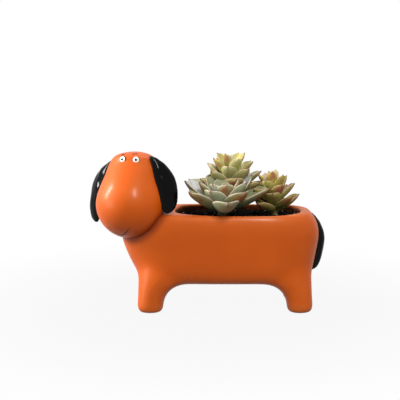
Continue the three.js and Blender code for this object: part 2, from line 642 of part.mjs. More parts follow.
const drainHole = rod(DRAIN_RADIUS, BELLY_HEIGHT - PROUD, FLOOR_HEIGHT + PROUD, 24);
const casting = join(
  torso(0), neck,
  leg(FRONT_FOOT, 1, -1), leg(FRONT_FOOT, 1, 1),
  leg(HIND_FOOT, -1, -1), leg(HIND_FOOT, -1, 1),
);
const seated = cut(casting, headSeat.clone().applyMatrix4(head.matrix), trough, drainHole, ...tailHoles);
addPiece(planter, "pot_body", join(seated, spigot), RESIN);

// Drain plug, screen and gravel

const plugTop = FLOOR_HEIGHT - SEAT_GAP;
const flangeTop = BELLY_HEIGHT - SEAT_GAP;
const flangeBottom = flangeTop - PLUG_FLANGE_THICKNESS;
const plug = turned([
  [0, flangeBottom - PLUG_KNOB_LENGTH], [PLUG_KNOB_RADIUS, flangeBottom - PLUG_KNOB_LENGTH],
  [PLUG_KNOB_RADIUS, flangeBottom], [PLUG_FLANGE_RADIUS, flangeBottom],
  [PLUG_FLANGE_RADIUS, flangeTop], [DRAIN_RADIUS - FIT_GAP, flangeTop],
  [DRAIN_RADIUS - 2 * FIT_GAP, plugTop], [0, plugTop],
]);
addPiece(planter, "drain_plug", plug, RUBBER);

const screenBottom = FLOOR_HEIGHT + SEAT_GAP;
const screenTop = screenBottom + SCREEN_THICKNESS;
const reach = SCREEN_RADIUS - SCREEN_HOLE;
const rows = Math.floor(reach / SCREEN_PITCH);
const gaps = [];
for (let row = -rows; row <= rows; row++) {
  for (let column = -rows; column <= rows; column++) {
    const [x, y] = [column * SCREEN_PITCH, row * SCREEN_PITCH];
    if (Math.hypot(x, y) > reach) continue;
    gaps.push(new THREE.BoxGeometry(SCREEN_HOLE, SCREEN_HOLE, PROUD).translate(x, y, screenTop));
  }
}
const screen = cut(rod(SCREEN_RADIUS, screenBottom, screenTop, 24), ...gaps);
addPiece(planter, "drain_screen", screen, MESH_GREY);

const screenRoom = rod(SCREEN_RADIUS + FIT_GAP, FLOOR_HEIGHT, screenTop + SEAT_GAP, 24);
const gravelCurve = troughCurve.map((z) => z + SEAT_GAP);
const gravel = filling([...gravelCurve, GRAVEL_TOP], SEAT_GAP);
addPiece(planter, "drainage_gravel", cut(gravel, screenRoom), STONE);

// Succulents

// A fleshy leaf that grows along +Z: flat towards -X, keeled towards +X, curled in at the tip.
function leaf(length, width, extra) {
  const half = outline(new THREE.Path()
    .moveTo(width * LEAF_FOOT + extra, -extra)
    .quadraticCurveTo(width / 2 + extra, length * LEAF_SWELL, width / 2 + extra, length * LEAF_WIDEST)
    .quadraticCurveTo(width / 2 + extra, length * LEAF_SHOULDER, width * LEAF_TIP + extra, length + extra));
  const middle = (z) => -LEAF_CURL * length * (z / length) ** 2;
  const deep = (z) =>
    width * LEAF_FLESH * Math.sqrt(1 - Math.max(0, z / (length * LEAF_BLUNT + extra)) ** 4);
  return stack([-extra, ...LEAF_RINGS.map((share) => length * share), length + extra], {
    left: (z) => middle(z) - deep(z) * (1 - LEAF_KEEL) - extra,
    right: (z) => middle(z) + deep(z) * LEAF_KEEL + extra,
    near: (z) => -half(z),
    far: half,
    sides: 6,
  });
}

// Stands what grows up from the origin in the soil, where a plant grows and as it leans.
function planted(geometry, { x, y, lean }) {
  return geometry.rotateX(THREE.MathUtils.degToRad(lean[0])).rotateY(THREE.MathUtils.degToRad(lean[1]))
    .translate(x, y, SOIL_TOP);
}

// A stem rooted in the soil, with its leaves.
function rosette(plant, extra) {
  const { stem, leaves, start, ease, tilt, length, width, height } = plant;
  const parts = Array.from({ length: leaves }, (_, i) => {
    const age = i / (leaves - 1);
    const opened = THREE.MathUtils.lerp(...tilt, age ** ease[0]);
    const long = THREE.MathUtils.lerp(...length, age ** ease[1]);
    const wide = THREE.MathUtils.lerp(...width, age ** ease[1]);
    return leaf(long, wide, extra)
      .rotateY(THREE.MathUtils.degToRad(opened))
      .rotateZ(THREE.MathUtils.degToRad(start + GOLDEN_ANGLE * i))
      .translate(0, 0, THREE.MathUtils.lerp(...height, age));
  });
  return planted(join(rod(stem + extra, -ROOT_DEPTH - extra, height[0] + stem / 2, 8), ...parts), plant);
}

const stemHoles = Object.values(PLANTS).map((plant) =>
  planted(rod(plant.stem + FIT_GAP, -ROOT_DEPTH - SEAT_GAP, PROUD, 8), plant));
const soil = filling(even(GRAVEL_TOP + SEAT_GAP, SOIL_TOP, 3), SEAT_GAP);
addPiece(planter, "potting_soil", cut(soil, ...stemHoles), SOIL);

const taken = [];
for (const [name, plant] of Object.entries(PLANTS)) {
  const finish = { color: plant.color, roughness: 0.55, metalness: 0 };
  addPiece(planter, name, cut(rosette(plant, 0), ...taken), finish);
  taken.push(rosette(plant, SEAT_GAP));
}

// The part's origin is the middle of its footprint on the ground.
const box = new THREE.Box3().setFromObject(planter, true);
const middle = box.getCenter(new THREE.Vector3());
planter.position.set(-middle.x, -middle.y, -box.min.z);

export default planter;
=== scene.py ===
import bmesh
import bpy
import numpy as np
from mathutils import Euler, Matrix, Vector, kdtree, noise


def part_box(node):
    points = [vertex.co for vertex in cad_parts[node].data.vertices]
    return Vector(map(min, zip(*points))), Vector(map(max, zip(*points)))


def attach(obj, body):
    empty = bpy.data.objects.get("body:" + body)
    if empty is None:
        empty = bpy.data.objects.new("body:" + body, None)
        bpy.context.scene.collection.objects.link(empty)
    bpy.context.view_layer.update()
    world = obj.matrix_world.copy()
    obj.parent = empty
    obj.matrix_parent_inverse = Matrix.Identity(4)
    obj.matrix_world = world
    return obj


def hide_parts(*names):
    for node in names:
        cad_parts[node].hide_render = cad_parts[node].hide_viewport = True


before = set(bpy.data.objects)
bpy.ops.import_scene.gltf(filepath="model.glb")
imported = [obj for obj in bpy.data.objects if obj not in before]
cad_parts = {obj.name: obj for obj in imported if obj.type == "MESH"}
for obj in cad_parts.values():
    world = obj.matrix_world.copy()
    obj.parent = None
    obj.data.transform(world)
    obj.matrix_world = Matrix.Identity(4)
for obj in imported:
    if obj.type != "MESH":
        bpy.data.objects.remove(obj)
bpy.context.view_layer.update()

# Pot body. Torso, neck and four legs are one casting in resin, open along the back as a trough.
# The seams of the mould are rubbed down, and the whole is sprayed in a satin orange paint that
# thins a little along the rim.
MM = 0.001
UP = np.array([0.0, 0.0, 1.0])
soil_low, soil_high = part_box("potting_soil")
TROUGH_MIDDLE = np.array([soil_low.x + soil_high.x, soil_low.y + soil_high.y, 0.0]) / 2 / MM
PROUD = 5
TROUGH_LENGTH, TROUGH_WIDTH = 116, 63
TROUGH_DRAFT, TROUGH_ROUND, TROUGH_SQUARENESS = 3, 8, 3
RIM, FLOOR, BELLY = 92, 34, 26
FLANK, FLANK_SHOULDER, FLANK_CORNER, FLANK_BULGE = 38, 22, 2, 5.1
BELLY_TUCK, BELLY_ROUND = 11, 20
CHEST, CHEST_HEIGHT, CHEST_FOOT, CHEST_HOLLOW = -108, 66, 4, 6
CHEST_CORNER, CHEST_SETBACK = 4, 8
RUMP, RUMP_HEIGHT, RUMP_FOOT, RUMP_HOLLOW = 75.6, 67, 2, 3
RUMP_CORNER, RUMP_BULGE = 7, 10.1
TORSO_SQUARENESS = (2.7, 3.4)
FRONT_FOOT, HIND_FOOT = -92.6, 69
FOOT_LENGTH, FOOT_WIDTH, FOOT_ROUND, FOOT_INSET = 24, 24, 5, 3
FOOT_SQUARENESS = (2.4, 2.4)
LEG_TOP, LEG_LEAN, LEG_PLUMB, LEG_CORNER = 56, 18, 24, 6
ARCH_LENGTH, ARCH_WIDTH = 22, 12
HEAD_X, HEAD_SIDE = -94.9, 6
NECK_FOOT, NECK_TOP, NECK_SPREAD = 84, 124, 14
NECK_LENGTH, NECK_WIDTH, NECK_TOP_RADIUS, NECK_BEHIND = 40, 46, 10, 10
ANKLE, WAIST = (6, 18), (60, 74)
SHOULDER, WITHERS = (62, 74), (80, 88)
CRISP_SHARE, NAPE_SHARE = 0.12, 0.7
STAIN_SHADE_EDGE, STAIN_SHADE_FOOT, STAIN_SHADE_TOP = (0.97, 1.08), (FLOOR - 4, FLOOR), (RIM - 3, RIM - 0.5)
DRAIN_RADIUS = 5.6
CURVE_POINTS = 60


def bend(*knots):
    """Points along a smooth bend, from its first knot to its last, drawn towards those between."""
    t = np.linspace(0, 1, CURVE_POINTS)[:, None]
    rows = [np.broadcast_to(np.array(knot, float), (len(t), 2)) for knot in knots]
    while len(rows) > 1:
        rows = [a + (b - a) * t for a, b in zip(rows, rows[1:])]
    return rows[0]


def arc(middle, radius, start, end):
    """Points along an arc between two angles in degrees, with one radius or one each way."""
    turn = np.radians(np.linspace(start, end, CURVE_POINTS))
    return np.array(middle) + np.array(radius) * np.stack([np.cos(turn), np.sin(turn)], 1)


def edge(*runs):
    """Distance from the middle at each height along a drawn edge."""
    points = np.vstack(runs)
    return lambda z: np.interp(z, points[:, 1], points[:, 0])


def domed(low, high, count):
    """Heights that lie closer together towards both ends."""
    turn = np.pi * (np.arange(count + 1) + 0.25) / (count + 0.5)
    return low + (high - low) * (1 - np.cos(turn)) / 2


def quad_rows(rows, sides):
    """Faces between rings of points that lie row by row."""
    low = np.arange(rows - 1)[:, None] * sides
    here, there = np.arange(sides), np.roll(np.arange(sides), -1)
    quads = np.stack([low + here, low + there, low + sides + there, low + sides + here], -1)
    return quads.reshape(-1, 4).tolist()


def end_faces(rows, sides):
    """Faces that close the first ring of points and the last."""
    top = (rows - 1) * sides
    return [list(range(sides))[::-1], list(range(top, top + sides))]


def ring_stack(levels, left, right, near, far, squareness=(2, 2), sides=96, extra=0.0):
    """Points and faces of a body skinned over level rings between four edges, and an extra all round."""
    z = np.asarray(levels, float)[:, None]
    turn = (np.arange(sides) + 0.5) * 2 * np.pi / sides
    c, s = np.cos(turn), np.sin(turn)
    power = 2 / np.where(c < 0, *squareness)
    u, v = (np.sign(w) * np.abs(w) ** power for w in (c, s))
    x = (left(z) + right(z)) / 2 + u * ((right(z) - left(z)) / 2 + extra)
    y = (near(z) + far(z)) / 2 + v * ((far(z) - near(z)) / 2 + extra)
    points = np.stack([x, y, np.broadcast_to(z, x.shape)], -1).reshape(-1, 3)
    return points, quad_rows(len(z), sides) + end_faces(len(z), sides)


def new_object(name, data):
    """An object in the scene that shows a mesh, a lamp or a camera."""
    item = bpy.data.objects.new(name, data)
    bpy.context.scene.collection.objects.link(item)
    return item


def mesh_object(name, shape):
    """A smooth mesh object made from a shape, which is used up by it."""
    mesh = bpy.data.meshes.new(name)
    shape.to_mesh(mesh)
    shape.free()
    mesh.shade_smooth()
    return new_object(name, mesh)


def new_piece(name, *bodies):
    """A mesh object made of bodies that are given in millimetres from the middle of the trough."""
    shape = bmesh.new()
    for points, faces in bodies:
        corners = [shape.verts.new(p) for p in (points + TROUGH_MIDDLE) * MM]
        for face in faces:
            shape.faces.new([corners[i] for i in face])
    bmesh.ops.remove_doubles(shape, verts=shape.verts, dist=1e-7)
    return mesh_object(name, shape)


def settle(piece):
    """Turns what the piece's modifiers make into its own plain mesh."""
    ready = piece.evaluated_get(bpy.context.evaluated_depsgraph_get())
    mesh = bpy.data.meshes.new_from_object(ready)
    piece.modifiers.clear()
    piece.data = mesh


def remesh(piece, voxel):
    """Fuses overlapping bodies into one even skin."""
    step = piece.modifiers.new("remesh", "REMESH")
    step.mode = "VOXEL"
    step.voxel_size = voxel * MM
    step.use_smooth_shade = True
    settle(piece)


def cut(piece, tool):
    """Takes the tool out of the piece, and throws the tool away."""
    step = piece.modifiers.new("cut", "BOOLEAN")
    step.operation = "DIFFERENCE"
    step.solver = "MANIFOLD"
    step.object = tool
    settle(piece)
    bpy.data.objects.remove(tool)


def places_of(mesh):
    """Places of the mesh's vertices, in metres."""
    places = np.empty(len(mesh.vertices) * 3, np.float32)
    mesh.vertices.foreach_get("co", places)
    return places.reshape(-1, 3).astype(float)


def relaxed(mesh, rounds, share=1.0):
    """Places of the vertices once each is eased towards its neighbours some rounds over."""
    places = places_of(mesh)
    ends = np.empty(len(mesh.edges) * 2, np.int32)
    mesh.edges.foreach_get("vertices", ends)
    a, b = ends.reshape(-1, 2).T
    links = np.bincount(ends, minlength=len(places))
    for _ in range(rounds):
        total = [
            np.bincount(a, places[b, i], len(places)) + np.bincount(b, places[a, i], len(places))
            for i in range(3)
        ]
        middle = np.stack(total, 1) / links[:, None]
        places += 0.5 * np.reshape(share, (-1, 1)) * (middle - places)
    return places


def move_to(mesh, places):
    """Puts the vertices of the mesh at the given places."""
    mesh.vertices.foreach_set("co", places.astype(np.float32).ravel())
    mesh.update()


def paint_on(mesh, name, values):
    """Keeps one number for each vertex, for the material to read."""
    layer = mesh.attributes.new(name, "FLOAT", "POINT")
    layer.data.foreach_set("value", np.asarray(values, np.float32))


def normals_of(mesh):
    return np.array([vertex.normal for vertex in mesh.vertices])


def mark_edges(mesh, full):
    """Marks raised edges and hollows, from 0 to 1 at the given depth in millimetres."""
    proud = ((places_of(mesh) - relaxed(mesh, rounds=14)) * normals_of(mesh)).sum(1) / MM
    paint_on(mesh, "raised", np.clip(proud / full, 0, 1))
    paint_on(mesh, "hollow_shade", np.clip(-proud / full, 0, 1))


def rise(value, low, high):
    """0 below low, 1 above high, and smooth between."""
    t = np.clip((value - low) / (high - low), 0, 1)
    return t * t * (3 - 2 * t)


def tint(code):
    """Linear colour of a hex code."""
    parts = np.array([int(code[i:i + 2], 16) for i in (0, 2, 4)]) / 255
    linear = np.where(parts > 0.04045, ((parts + 0.055) / 1.055) ** 2.4, parts / 12.92)
    return (*linear.tolist(), 1.0)


def add(tree, kind, inputs=(), **settings):
    """A node with its settings made, and its inputs set or linked by name or number."""
    node = tree.nodes.new(kind)
    for key, value in settings.items():
        setattr(node, key, value)
    for key, value in dict(inputs).items():
        if isinstance(value, bpy.types.NodeSocket):
            tree.links.new(value, node.inputs[key])
        else:
            node.inputs[key].default_value = value
    return node


def made(tree, kind, inputs=(), **settings):
    """The first output of a new node."""
    return add(tree, kind, inputs, **settings).outputs[0]


def new_finish(name, **sockets):
    """A material, its tree, and its shader with what is the same all over."""
    material = bpy.data.materials.new(name)
    material.use_nodes = True
    shader = material.node_tree.nodes["Principled BSDF"]
    for key, value in sockets.items():
        shader.inputs[key.replace("_", " ")].default_value = value
    return material, material.node_tree, shader


def object_place(tree):
    return add(tree, "ShaderNodeTexCoord").outputs["Object"]


def grain(tree, size, detail=3.0):
    """Noise over the piece, with lumps of the given size in millimetres."""
    sockets = {"Vector": object_place(tree), "Scale": 1 / (size * MM), "Detail": detail}
    return made(tree, "ShaderNodeTexNoise", sockets)


def ranged(tree, value, low, high, to_low=0.0, to_high=1.0):
    """The value moved from one range smoothly into another."""
    sockets = {"Value": value, 1: low, 2: high, 3: to_low, 4: to_high}
    return made(tree, "ShaderNodeMapRange", sockets, interpolation_type="SMOOTHSTEP")


def times(tree, product, *values):
    for value in values:
        product = made(tree, "ShaderNodeMath", {0: product, 1: value}, operation="MULTIPLY")
    return product


def blend(tree, share, a, b):
    """Colour a, turned to colour b by the share. A colour is a socket or a hex code."""
    a, b = (tint(colour) if isinstance(colour, str) else colour for colour in (a, b))
    return add(tree, "ShaderNodeMix", {0: share, 6: a, 7: b}, data_type="RGBA").outputs[2]


def painted(tree, name):
    """A number kept on the vertices."""
    return add(tree, "ShaderNodeAttribute", attribute_name=name).outputs["Fac"]


def colour_in(tree, shader, colour, roughness):
    tree.links.new(colour, shader.inputs["Base Color"])
    tree.links.new(roughness, shader.inputs["Roughness"])


def roughen(tree, shader, height, depth, strength=1.0):
    """Raises the shader's surface by the height, in millimetres."""
    sockets = {"Height": height, "Strength": strength, "Distance": depth * MM}
    bump = add(tree, "ShaderNodeBump", sockets)
    tree.links.new(bump.outputs[0], shader.inputs["Normal"])


def orange_paint(name):
    """Satin paint that is thin on raised edges, with painted shade in hollows and creases, and darkened in
    the trough by damp stain and painted shade.
    """
    material, tree, shader = new_finish(
        name, Specular_IOR_Level=0.4, Specular_Tint=tint("fad298"), Coat_Weight=0.16, Coat_Roughness=0.22,
    )
    cloud = ranged(tree, grain(tree, 60), 0.3, 0.7)
    colour = blend(tree, cloud, "b84a05", "c15007")
    speck = ranged(tree, grain(tree, 1.6, 1.0), 0.62, 0.75, 0.0, 0.25)
    colour = blend(tree, speck, colour, "9d3c05")
    thin = times(tree, painted(tree, "raised"), ranged(tree, grain(tree, 9), 0.3, 0.6, 0.1, 0.35))
    colour = blend(tree, thin, colour, "cf7a40")
    # Painted shade: darker red in hollows and in the crease under the head.
    colour = blend(tree, times(tree, painted(tree, "hollow_shade"), 0.85), colour, "6a1802")
    # Damp stain and painted shade on the walls inside the trough.
    damp_and_shade = ranged(tree, grain(tree, 7, 5.0), 0.35, 0.6, 0.65, 1.0)
    stain_and_shade = times(tree, painted(tree, "stained_and_shaded"), damp_and_shade)
    colour = blend(tree, stain_and_shade, colour, "1c0d06")
    colour_in(tree, shader, colour, ranged(tree, grain(tree, 20), 0.3, 0.7, 0.5, 0.58))
    roughen(tree, shader, grain(tree, 1.1, 2.0), 0.05, 0.5)
    return material


chest_low, rump_low = (BELLY + CHEST_HEIGHT) / 2, (BELLY + RUMP_HEIGHT) / 2
chest = edge(
    bend((FRONT_FOOT + CHEST_FOOT, BELLY), (CHEST + CHEST_HOLLOW, chest_low), (CHEST, CHEST_HEIGHT)),
    bend((CHEST, CHEST_HEIGHT), (CHEST, RIM - CHEST_CORNER), (CHEST + CHEST_SETBACK, RIM)),
)
rump = edge(
    bend((HIND_FOOT - RUMP_FOOT, BELLY), (RUMP - RUMP_HOLLOW, rump_low), (RUMP, RUMP_HEIGHT)),
    bend((RUMP, RUMP_HEIGHT), (RUMP, RIM - RUMP_CORNER), (RUMP - RUMP_BULGE, RIM)),
)
flank = edge(
    bend((FLANK - BELLY_TUCK, BELLY), (FLANK, BELLY), (FLANK, BELLY + BELLY_ROUND)),
    bend((FLANK, RIM - FLANK_SHOULDER), (FLANK, RIM - FLANK_CORNER), (FLANK - FLANK_BULGE, RIM)),
)


def torso(extra=0.0):
    levels = domed(BELLY, RIM, 60)
    edges = chest, rump, lambda z: -flank(z), flank
    return ring_stack(levels, *edges, TORSO_SQUARENESS, sides=160, extra=extra)


def arch(foot, reach):
    """Inner edge of a leg, from its rounded foot over into the belly."""
    return edge(
        bend((foot - FOOT_ROUND, 0), (foot, 0), (foot, FOOT_ROUND)),
        arc((foot + reach, FOOT_ROUND), (reach, BELLY - FOOT_ROUND), 180, 90),
        bend((foot + reach, BELLY), (foot + reach, LEG_TOP)),
    )


leg_outside = edge(
    bend((FOOT_ROUND, 0), (0, 0), (0, FOOT_ROUND)),
    bend((0, LEG_PLUMB), (0, LEG_TOP - LEG_CORNER), (LEG_LEAN, LEG_TOP)),
)


def leg(outer_x, inwards, side):
    inner_x, inner_y = arch(FOOT_LENGTH, ARCH_LENGTH), arch(FOOT_WIDTH, ARCH_WIDTH)
    outer_y = side * (FLANK - FOOT_INSET)
    x = [lambda z: outer_x + inwards * leg_outside(z), lambda z: outer_x + inwards * inner_x(z)]
    y = [lambda z: outer_y - side * leg_outside(z), lambda z: outer_y - side * inner_y(z)]
    levels = np.r_[domed(0, FOOT_ROUND, 8), np.linspace(FOOT_ROUND + 0.5, LEG_TOP, 50)]
    return ring_stack(levels, *x[::inwards], *y[::-side], FOOT_SQUARENESS, sides=64)


neck_share = edge(bend((0, NECK_FOOT), (0.5, NECK_FOOT + NECK_SPREAD), (1, NECK_TOP)))


def neck_side(middle_low, middle_high, size, side):
    """One side of the neck, from its foot up to its round top inside the head."""
    foot, top = middle_low + side * size / 2, middle_high + side * NECK_TOP_RADIUS
    return lambda z: foot + (top - foot) * neck_share(z)


neck = ring_stack(
    np.linspace(NECK_FOOT, NECK_TOP, 40),
    *(neck_side(HEAD_X + NECK_BEHIND, HEAD_X, NECK_LENGTH, side) for side in (-1, 1)),
    *(neck_side(0, -HEAD_SIDE, NECK_WIDTH, side) for side in (-1, 1)),
)


def trough_wall(half):
    floor = half - TROUGH_DRAFT
    return edge(
        bend((floor - TROUGH_ROUND, FLOOR), (floor, FLOOR), (floor, FLOOR + TROUGH_ROUND)),
        bend((half, RIM), (half, RIM + PROUD)),
    )


def trough_filling(levels, gap):
    """What fills the trough between two heights, kept off its walls by a gap."""
    along, across = trough_wall(TROUGH_LENGTH / 2), trough_wall(TROUGH_WIDTH / 2)
    return ring_stack(
        levels,
        lambda z: -along(z - gap), lambda z: along(z - gap),
        lambda z: -across(z - gap), lambda z: across(z - gap),
        (TROUGH_SQUARENESS, TROUGH_SQUARENESS), sides=160, extra=-gap,
    )


legs = [leg(x, inwards, side) for x, inwards in ((FRONT_FOOT, 1), (HIND_FOOT, -1)) for side in (-1, 1)]
casting = new_piece("casting", torso(), neck, *legs)
remesh(casting, voxel=1.4)
x, y, z = (places_of(casting.data) / MM - TROUGH_MIDDLE).T
legs_and_belly = rise(z, *ANKLE) * (1 - rise(z, *WAIST))
nape = NAPE_SHARE * rise(-x, *SHOULDER) * rise(z, *WITHERS)
sculpted = CRISP_SHARE + (1 - CRISP_SHARE) * np.maximum(legs_and_belly, nape)
move_to(casting.data, relaxed(casting.data, rounds=70, share=sculpted))
trough_levels = np.r_[domed(FLOOR, FLOOR + TROUGH_ROUND, 8), RIM, RIM + PROUD]
cut(casting, new_piece("trough", trough_filling(trough_levels, 0)))
remesh(casting, voxel=1.15)
move_to(casting.data, relaxed(casting.data, rounds=5))
x, y, z = (places_of(casting.data) / MM - TROUGH_MIDDLE).T
half_sizes = np.array([[TROUGH_LENGTH / 2], [TROUGH_WIDTH / 2]])
outwards = ((np.abs([x, y]) / half_sizes) ** TROUGH_SQUARENESS).sum(0)
# Inside the trough the walls take a dark coat, partly a damp stain and partly painted shade.
splash_and_shade = (1 - rise(outwards, *STAIN_SHADE_EDGE)) * rise(z, *STAIN_SHADE_FOOT) * (1 - rise(z, *STAIN_SHADE_TOP))
paint_on(casting.data, "stained_and_shaded", splash_and_shade)
mark_edges(casting.data, full=0.45)


def turned(profile, sides=48):
    """Points and faces of a turned body, from radius and height along its profile."""
    turn = np.arange(sides) * 2 * np.pi / sides
    rings = [np.stack([r * np.cos(turn), r * np.sin(turn), np.full(sides, z)], 1) for r, z in profile]
    return np.vstack(rings), quad_rows(len(rings), sides)


drain_low, drain_high = BELLY - PROUD, FLOOR + PROUD
drain_profile = [(0, drain_low), (DRAIN_RADIUS, drain_low), (DRAIN_RADIUS, drain_high), (0, drain_high)]
cut(casting, new_piece("drain", turned(drain_profile)))


def fit(piece, material, body, slot, *nodes):
    """Dresses a finished piece, and fixes it to the body it moves with."""
    piece.data.materials.clear()
    piece.data.materials.append(material)
    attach(piece, body)
    if nodes:
        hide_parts(*nodes)


ORANGE = orange_paint("orange_paint")
fit(casting, ORANGE, "pot", "resin_orange", "pot_body")

# Tail. A drop of resin, dipped in gloss black enamel and glued flat against the rump. The enamel
# has run a little, so its gloss is not quite even.
TAIL_TOP, TAIL_WIDEST, TAIL_BOTTOM = 89, 64, 34.5
TAIL_BACK, TAIL_HALF, TAIL_TIP_HALF, TAIL_TOP_HALF, TAIL_TOP_ROUND = RUMP + 6, 7, 0.6, 2, 5
TAIL_TIP, TAIL_DRAW = 4.1, (2.1, 3.5)
TAIL_SHOULDER, TAIL_SEAT = (6, 11), (7.5, 5, 10)
GLUED = -0.3
RUN_WIDTH, RUN_LENGTH, RUN_DEPTH = 4, 18, 0.4


def lift_out(mesh, heights):
    """Moves the vertices straight out of the surface, by heights in millimetres."""
    move_to(mesh, places_of(mesh) + normals_of(mesh) * MM * heights[:, None])


def hang_runs(mesh):
    """Lifts the enamel into faint runs that hang down the piece."""
    runs = places_of(mesh) / MM / (RUN_WIDTH, RUN_WIDTH, RUN_LENGTH)
    lift_out(mesh, RUN_DEPTH * np.array([noise.noise(Vector(place)) for place in runs]))


def black_enamel(name):
    """Gloss enamel with specks of dust in it, a little grey where it is thin on raised edges."""
    material, tree, shader = new_finish(name, Specular_IOR_Level=0.07)
    dust = ranged(tree, grain(tree, 0.9, 1.0), 0.68, 0.78, 0.0, 0.25)
    colour = blend(tree, dust, "030303", "201e1d")
    colour = blend(tree, times(tree, painted(tree, "raised"), 0.35), colour, "2a2725")
    colour_in(tree, shader, colour, ranged(tree, grain(tree, 14), 0.3, 0.7, 0.05, 0.12))
    roughen(tree, shader, grain(tree, 7, 2.0), 0.12, 0.5)
    return material


tail_draw = (TAIL_BACK - TAIL_DRAW[0], TAIL_BOTTOM + TAIL_DRAW[1])
tail_back = edge(
    bend((RUMP - TAIL_TIP, TAIL_BOTTOM), tail_draw, (TAIL_BACK, TAIL_WIDEST)),
    bend(
        (TAIL_BACK, TAIL_WIDEST), (TAIL_BACK, TAIL_TOP - TAIL_SHOULDER[1]),
        (RUMP - TAIL_SHOULDER[0], TAIL_TOP),
    ),
)
tail_heights = (TAIL_BOTTOM, TAIL_WIDEST, TAIL_TOP)
tail_seat = edge(bend(*((RUMP - inside, z) for inside, z in zip(TAIL_SEAT, tail_heights))))
tail_half = edge(
    bend((TAIL_TIP_HALF, TAIL_BOTTOM), (TAIL_HALF, TAIL_BOTTOM), (TAIL_HALF, TAIL_WIDEST)),
    bend((TAIL_HALF, TAIL_WIDEST), (TAIL_HALF, TAIL_TOP - TAIL_TOP_ROUND), (TAIL_TOP_HALF, TAIL_TOP)),
)
tail_drop = new_piece("tail_drop", ring_stack(
    domed(TAIL_BOTTOM, TAIL_TOP, 60), tail_seat, tail_back, lambda z: -tail_half(z), tail_half,
))
cut(tail_drop, new_piece("rump", torso(GLUED)))
remesh(tail_drop, voxel=0.7)
move_to(tail_drop.data, relaxed(tail_drop.data, rounds=4))
mark_edges(tail_drop.data, full=0.3)
hang_runs(tail_drop.data)
BLACK = black_enamel("black_enamel")
fit(tail_drop, BLACK, "pot", "gloss_black", "tail")

# Head. A pear-shaped hollow casting in the same resin and paint, set on the neck and glued there.
# Its round muzzle looks to the side, towards the viewer. Painted shade darkens the crease between
# muzzle and neck, on both castings.
HEAD_TURN = 72
MUZZLE_RADIUS, MUZZLE_REACH, MUZZLE_HEIGHT = 31.6, 11.4, RIM + 8
MUZZLE_ARC, CHEEK_ARC = 20, 10
BRIDGE, CHEEK = (0.78, 0.8), (0.91, 0.54)
BROW_REACH, BROW_HEIGHT, BROW_SLOPE, BROW_ROUND = 17, 42.5, (1.5, 7), 2.5
SKULL_HALF_WIDTH, SKULL_HEIGHT, SKULL_TAPER = 24.2, 32, (1, 10)
NAPE_REACH, NAPE_HEIGHT, NAPE_ROUND = 18, 37, 4
NAPE_FOOT, NAPE_BULGE = (3, 14), (4, 30)
CROWN, CROWN_ROUND = 46.5, 2
CREASE_REACH = 9
HEAD_PLACE = np.array([HEAD_X, -HEAD_SIDE, MUZZLE_HEIGHT])
head_turn = np.radians(180 + HEAD_TURN)
FORWARD = np.array([np.cos(head_turn), np.sin(head_turn), 0.0])
LEFTWARD = np.array([-np.sin(head_turn), np.cos(head_turn), 0.0])


def on_head(body):
    """A body measured from the head, moved to where the head stands."""
    points, faces = body
    return HEAD_PLACE + points @ np.stack([FORWARD, LEFTWARD, UP]), faces


muzzle_front = arc((MUZZLE_REACH, 0), MUZZLE_RADIUS, -90, MUZZLE_ARC)
muzzle_back = arc((MUZZLE_REACH, 0), MUZZLE_RADIUS, -90, -180)
muzzle_side = arc((0, 0), MUZZLE_RADIUS, -90, CHEEK_ARC)
head_front = edge(
    muzzle_front,
    bend(
        muzzle_front[-1], (MUZZLE_REACH + BRIDGE[0] * MUZZLE_RADIUS, BRIDGE[1] * MUZZLE_RADIUS),
        (BROW_REACH + BROW_SLOPE[0], BROW_HEIGHT - BROW_SLOPE[1]), (BROW_REACH, BROW_HEIGHT),
    ),
    bend((BROW_REACH, BROW_HEIGHT), (BROW_REACH - BROW_ROUND, CROWN), (0, CROWN)),
)
head_back = edge(
    muzzle_back,
    bend(
        muzzle_back[-1], (-NAPE_REACH - NAPE_FOOT[0], NAPE_FOOT[1]),
        (-NAPE_REACH - NAPE_BULGE[0], NAPE_BULGE[1]), (-NAPE_REACH, NAPE_HEIGHT),
    ),
    bend((-NAPE_REACH, NAPE_HEIGHT), (NAPE_ROUND - NAPE_REACH, CROWN), (0, CROWN)),
)
head_side = edge(
    muzzle_side,
    bend(
        muzzle_side[-1], (CHEEK[0] * MUZZLE_RADIUS, CHEEK[1] * MUZZLE_RADIUS),
        (SKULL_HALF_WIDTH + SKULL_TAPER[0], SKULL_HEIGHT - SKULL_TAPER[1]), (SKULL_HALF_WIDTH, SKULL_HEIGHT),
    ),
    bend((SKULL_HALF_WIDTH, SKULL_HEIGHT), (SKULL_HALF_WIDTH - CROWN_ROUND, CROWN), (0, CROWN)),
)


def head_body(extra=0.0):
    levels = domed(-MUZZLE_RADIUS, CROWN, 130)
    edges = head_back, head_front, lambda z: -head_side(z), head_side
    return on_head(ring_stack(levels, *edges, sides=128, extra=extra))


def crease(piece, other):
    """How much each vertex lies in the crease between two pieces, from 0 to 1."""
    tree = kdtree.KDTree(len(other.data.vertices))
    for vertex in other.data.vertices:
        tree.insert(vertex.co, vertex.index)
    tree.balance()
    gaps = np.array([tree.find(vertex.co)[2] for vertex in piece.data.vertices])
    return 1 - rise(gaps / MM, 0, CREASE_REACH)


head_casting = new_piece("head_casting", head_body())
# Painted shade in the crease where the head meets the neck, on the head and on the body.
paint_on(head_casting.data, "hollow_shade", crease(head_casting, casting))
hollow_shade = casting.data.attributes["hollow_shade"].data
kept = np.empty(len(hollow_shade), np.float32)
hollow_shade.foreach_get("value", kept)
hollow_shade.foreach_set("value", np.maximum(kept, crease(casting, head_casting)).astype(np.float32))
fit(head_casting, ORANGE, "pot", "resin_orange", "head")

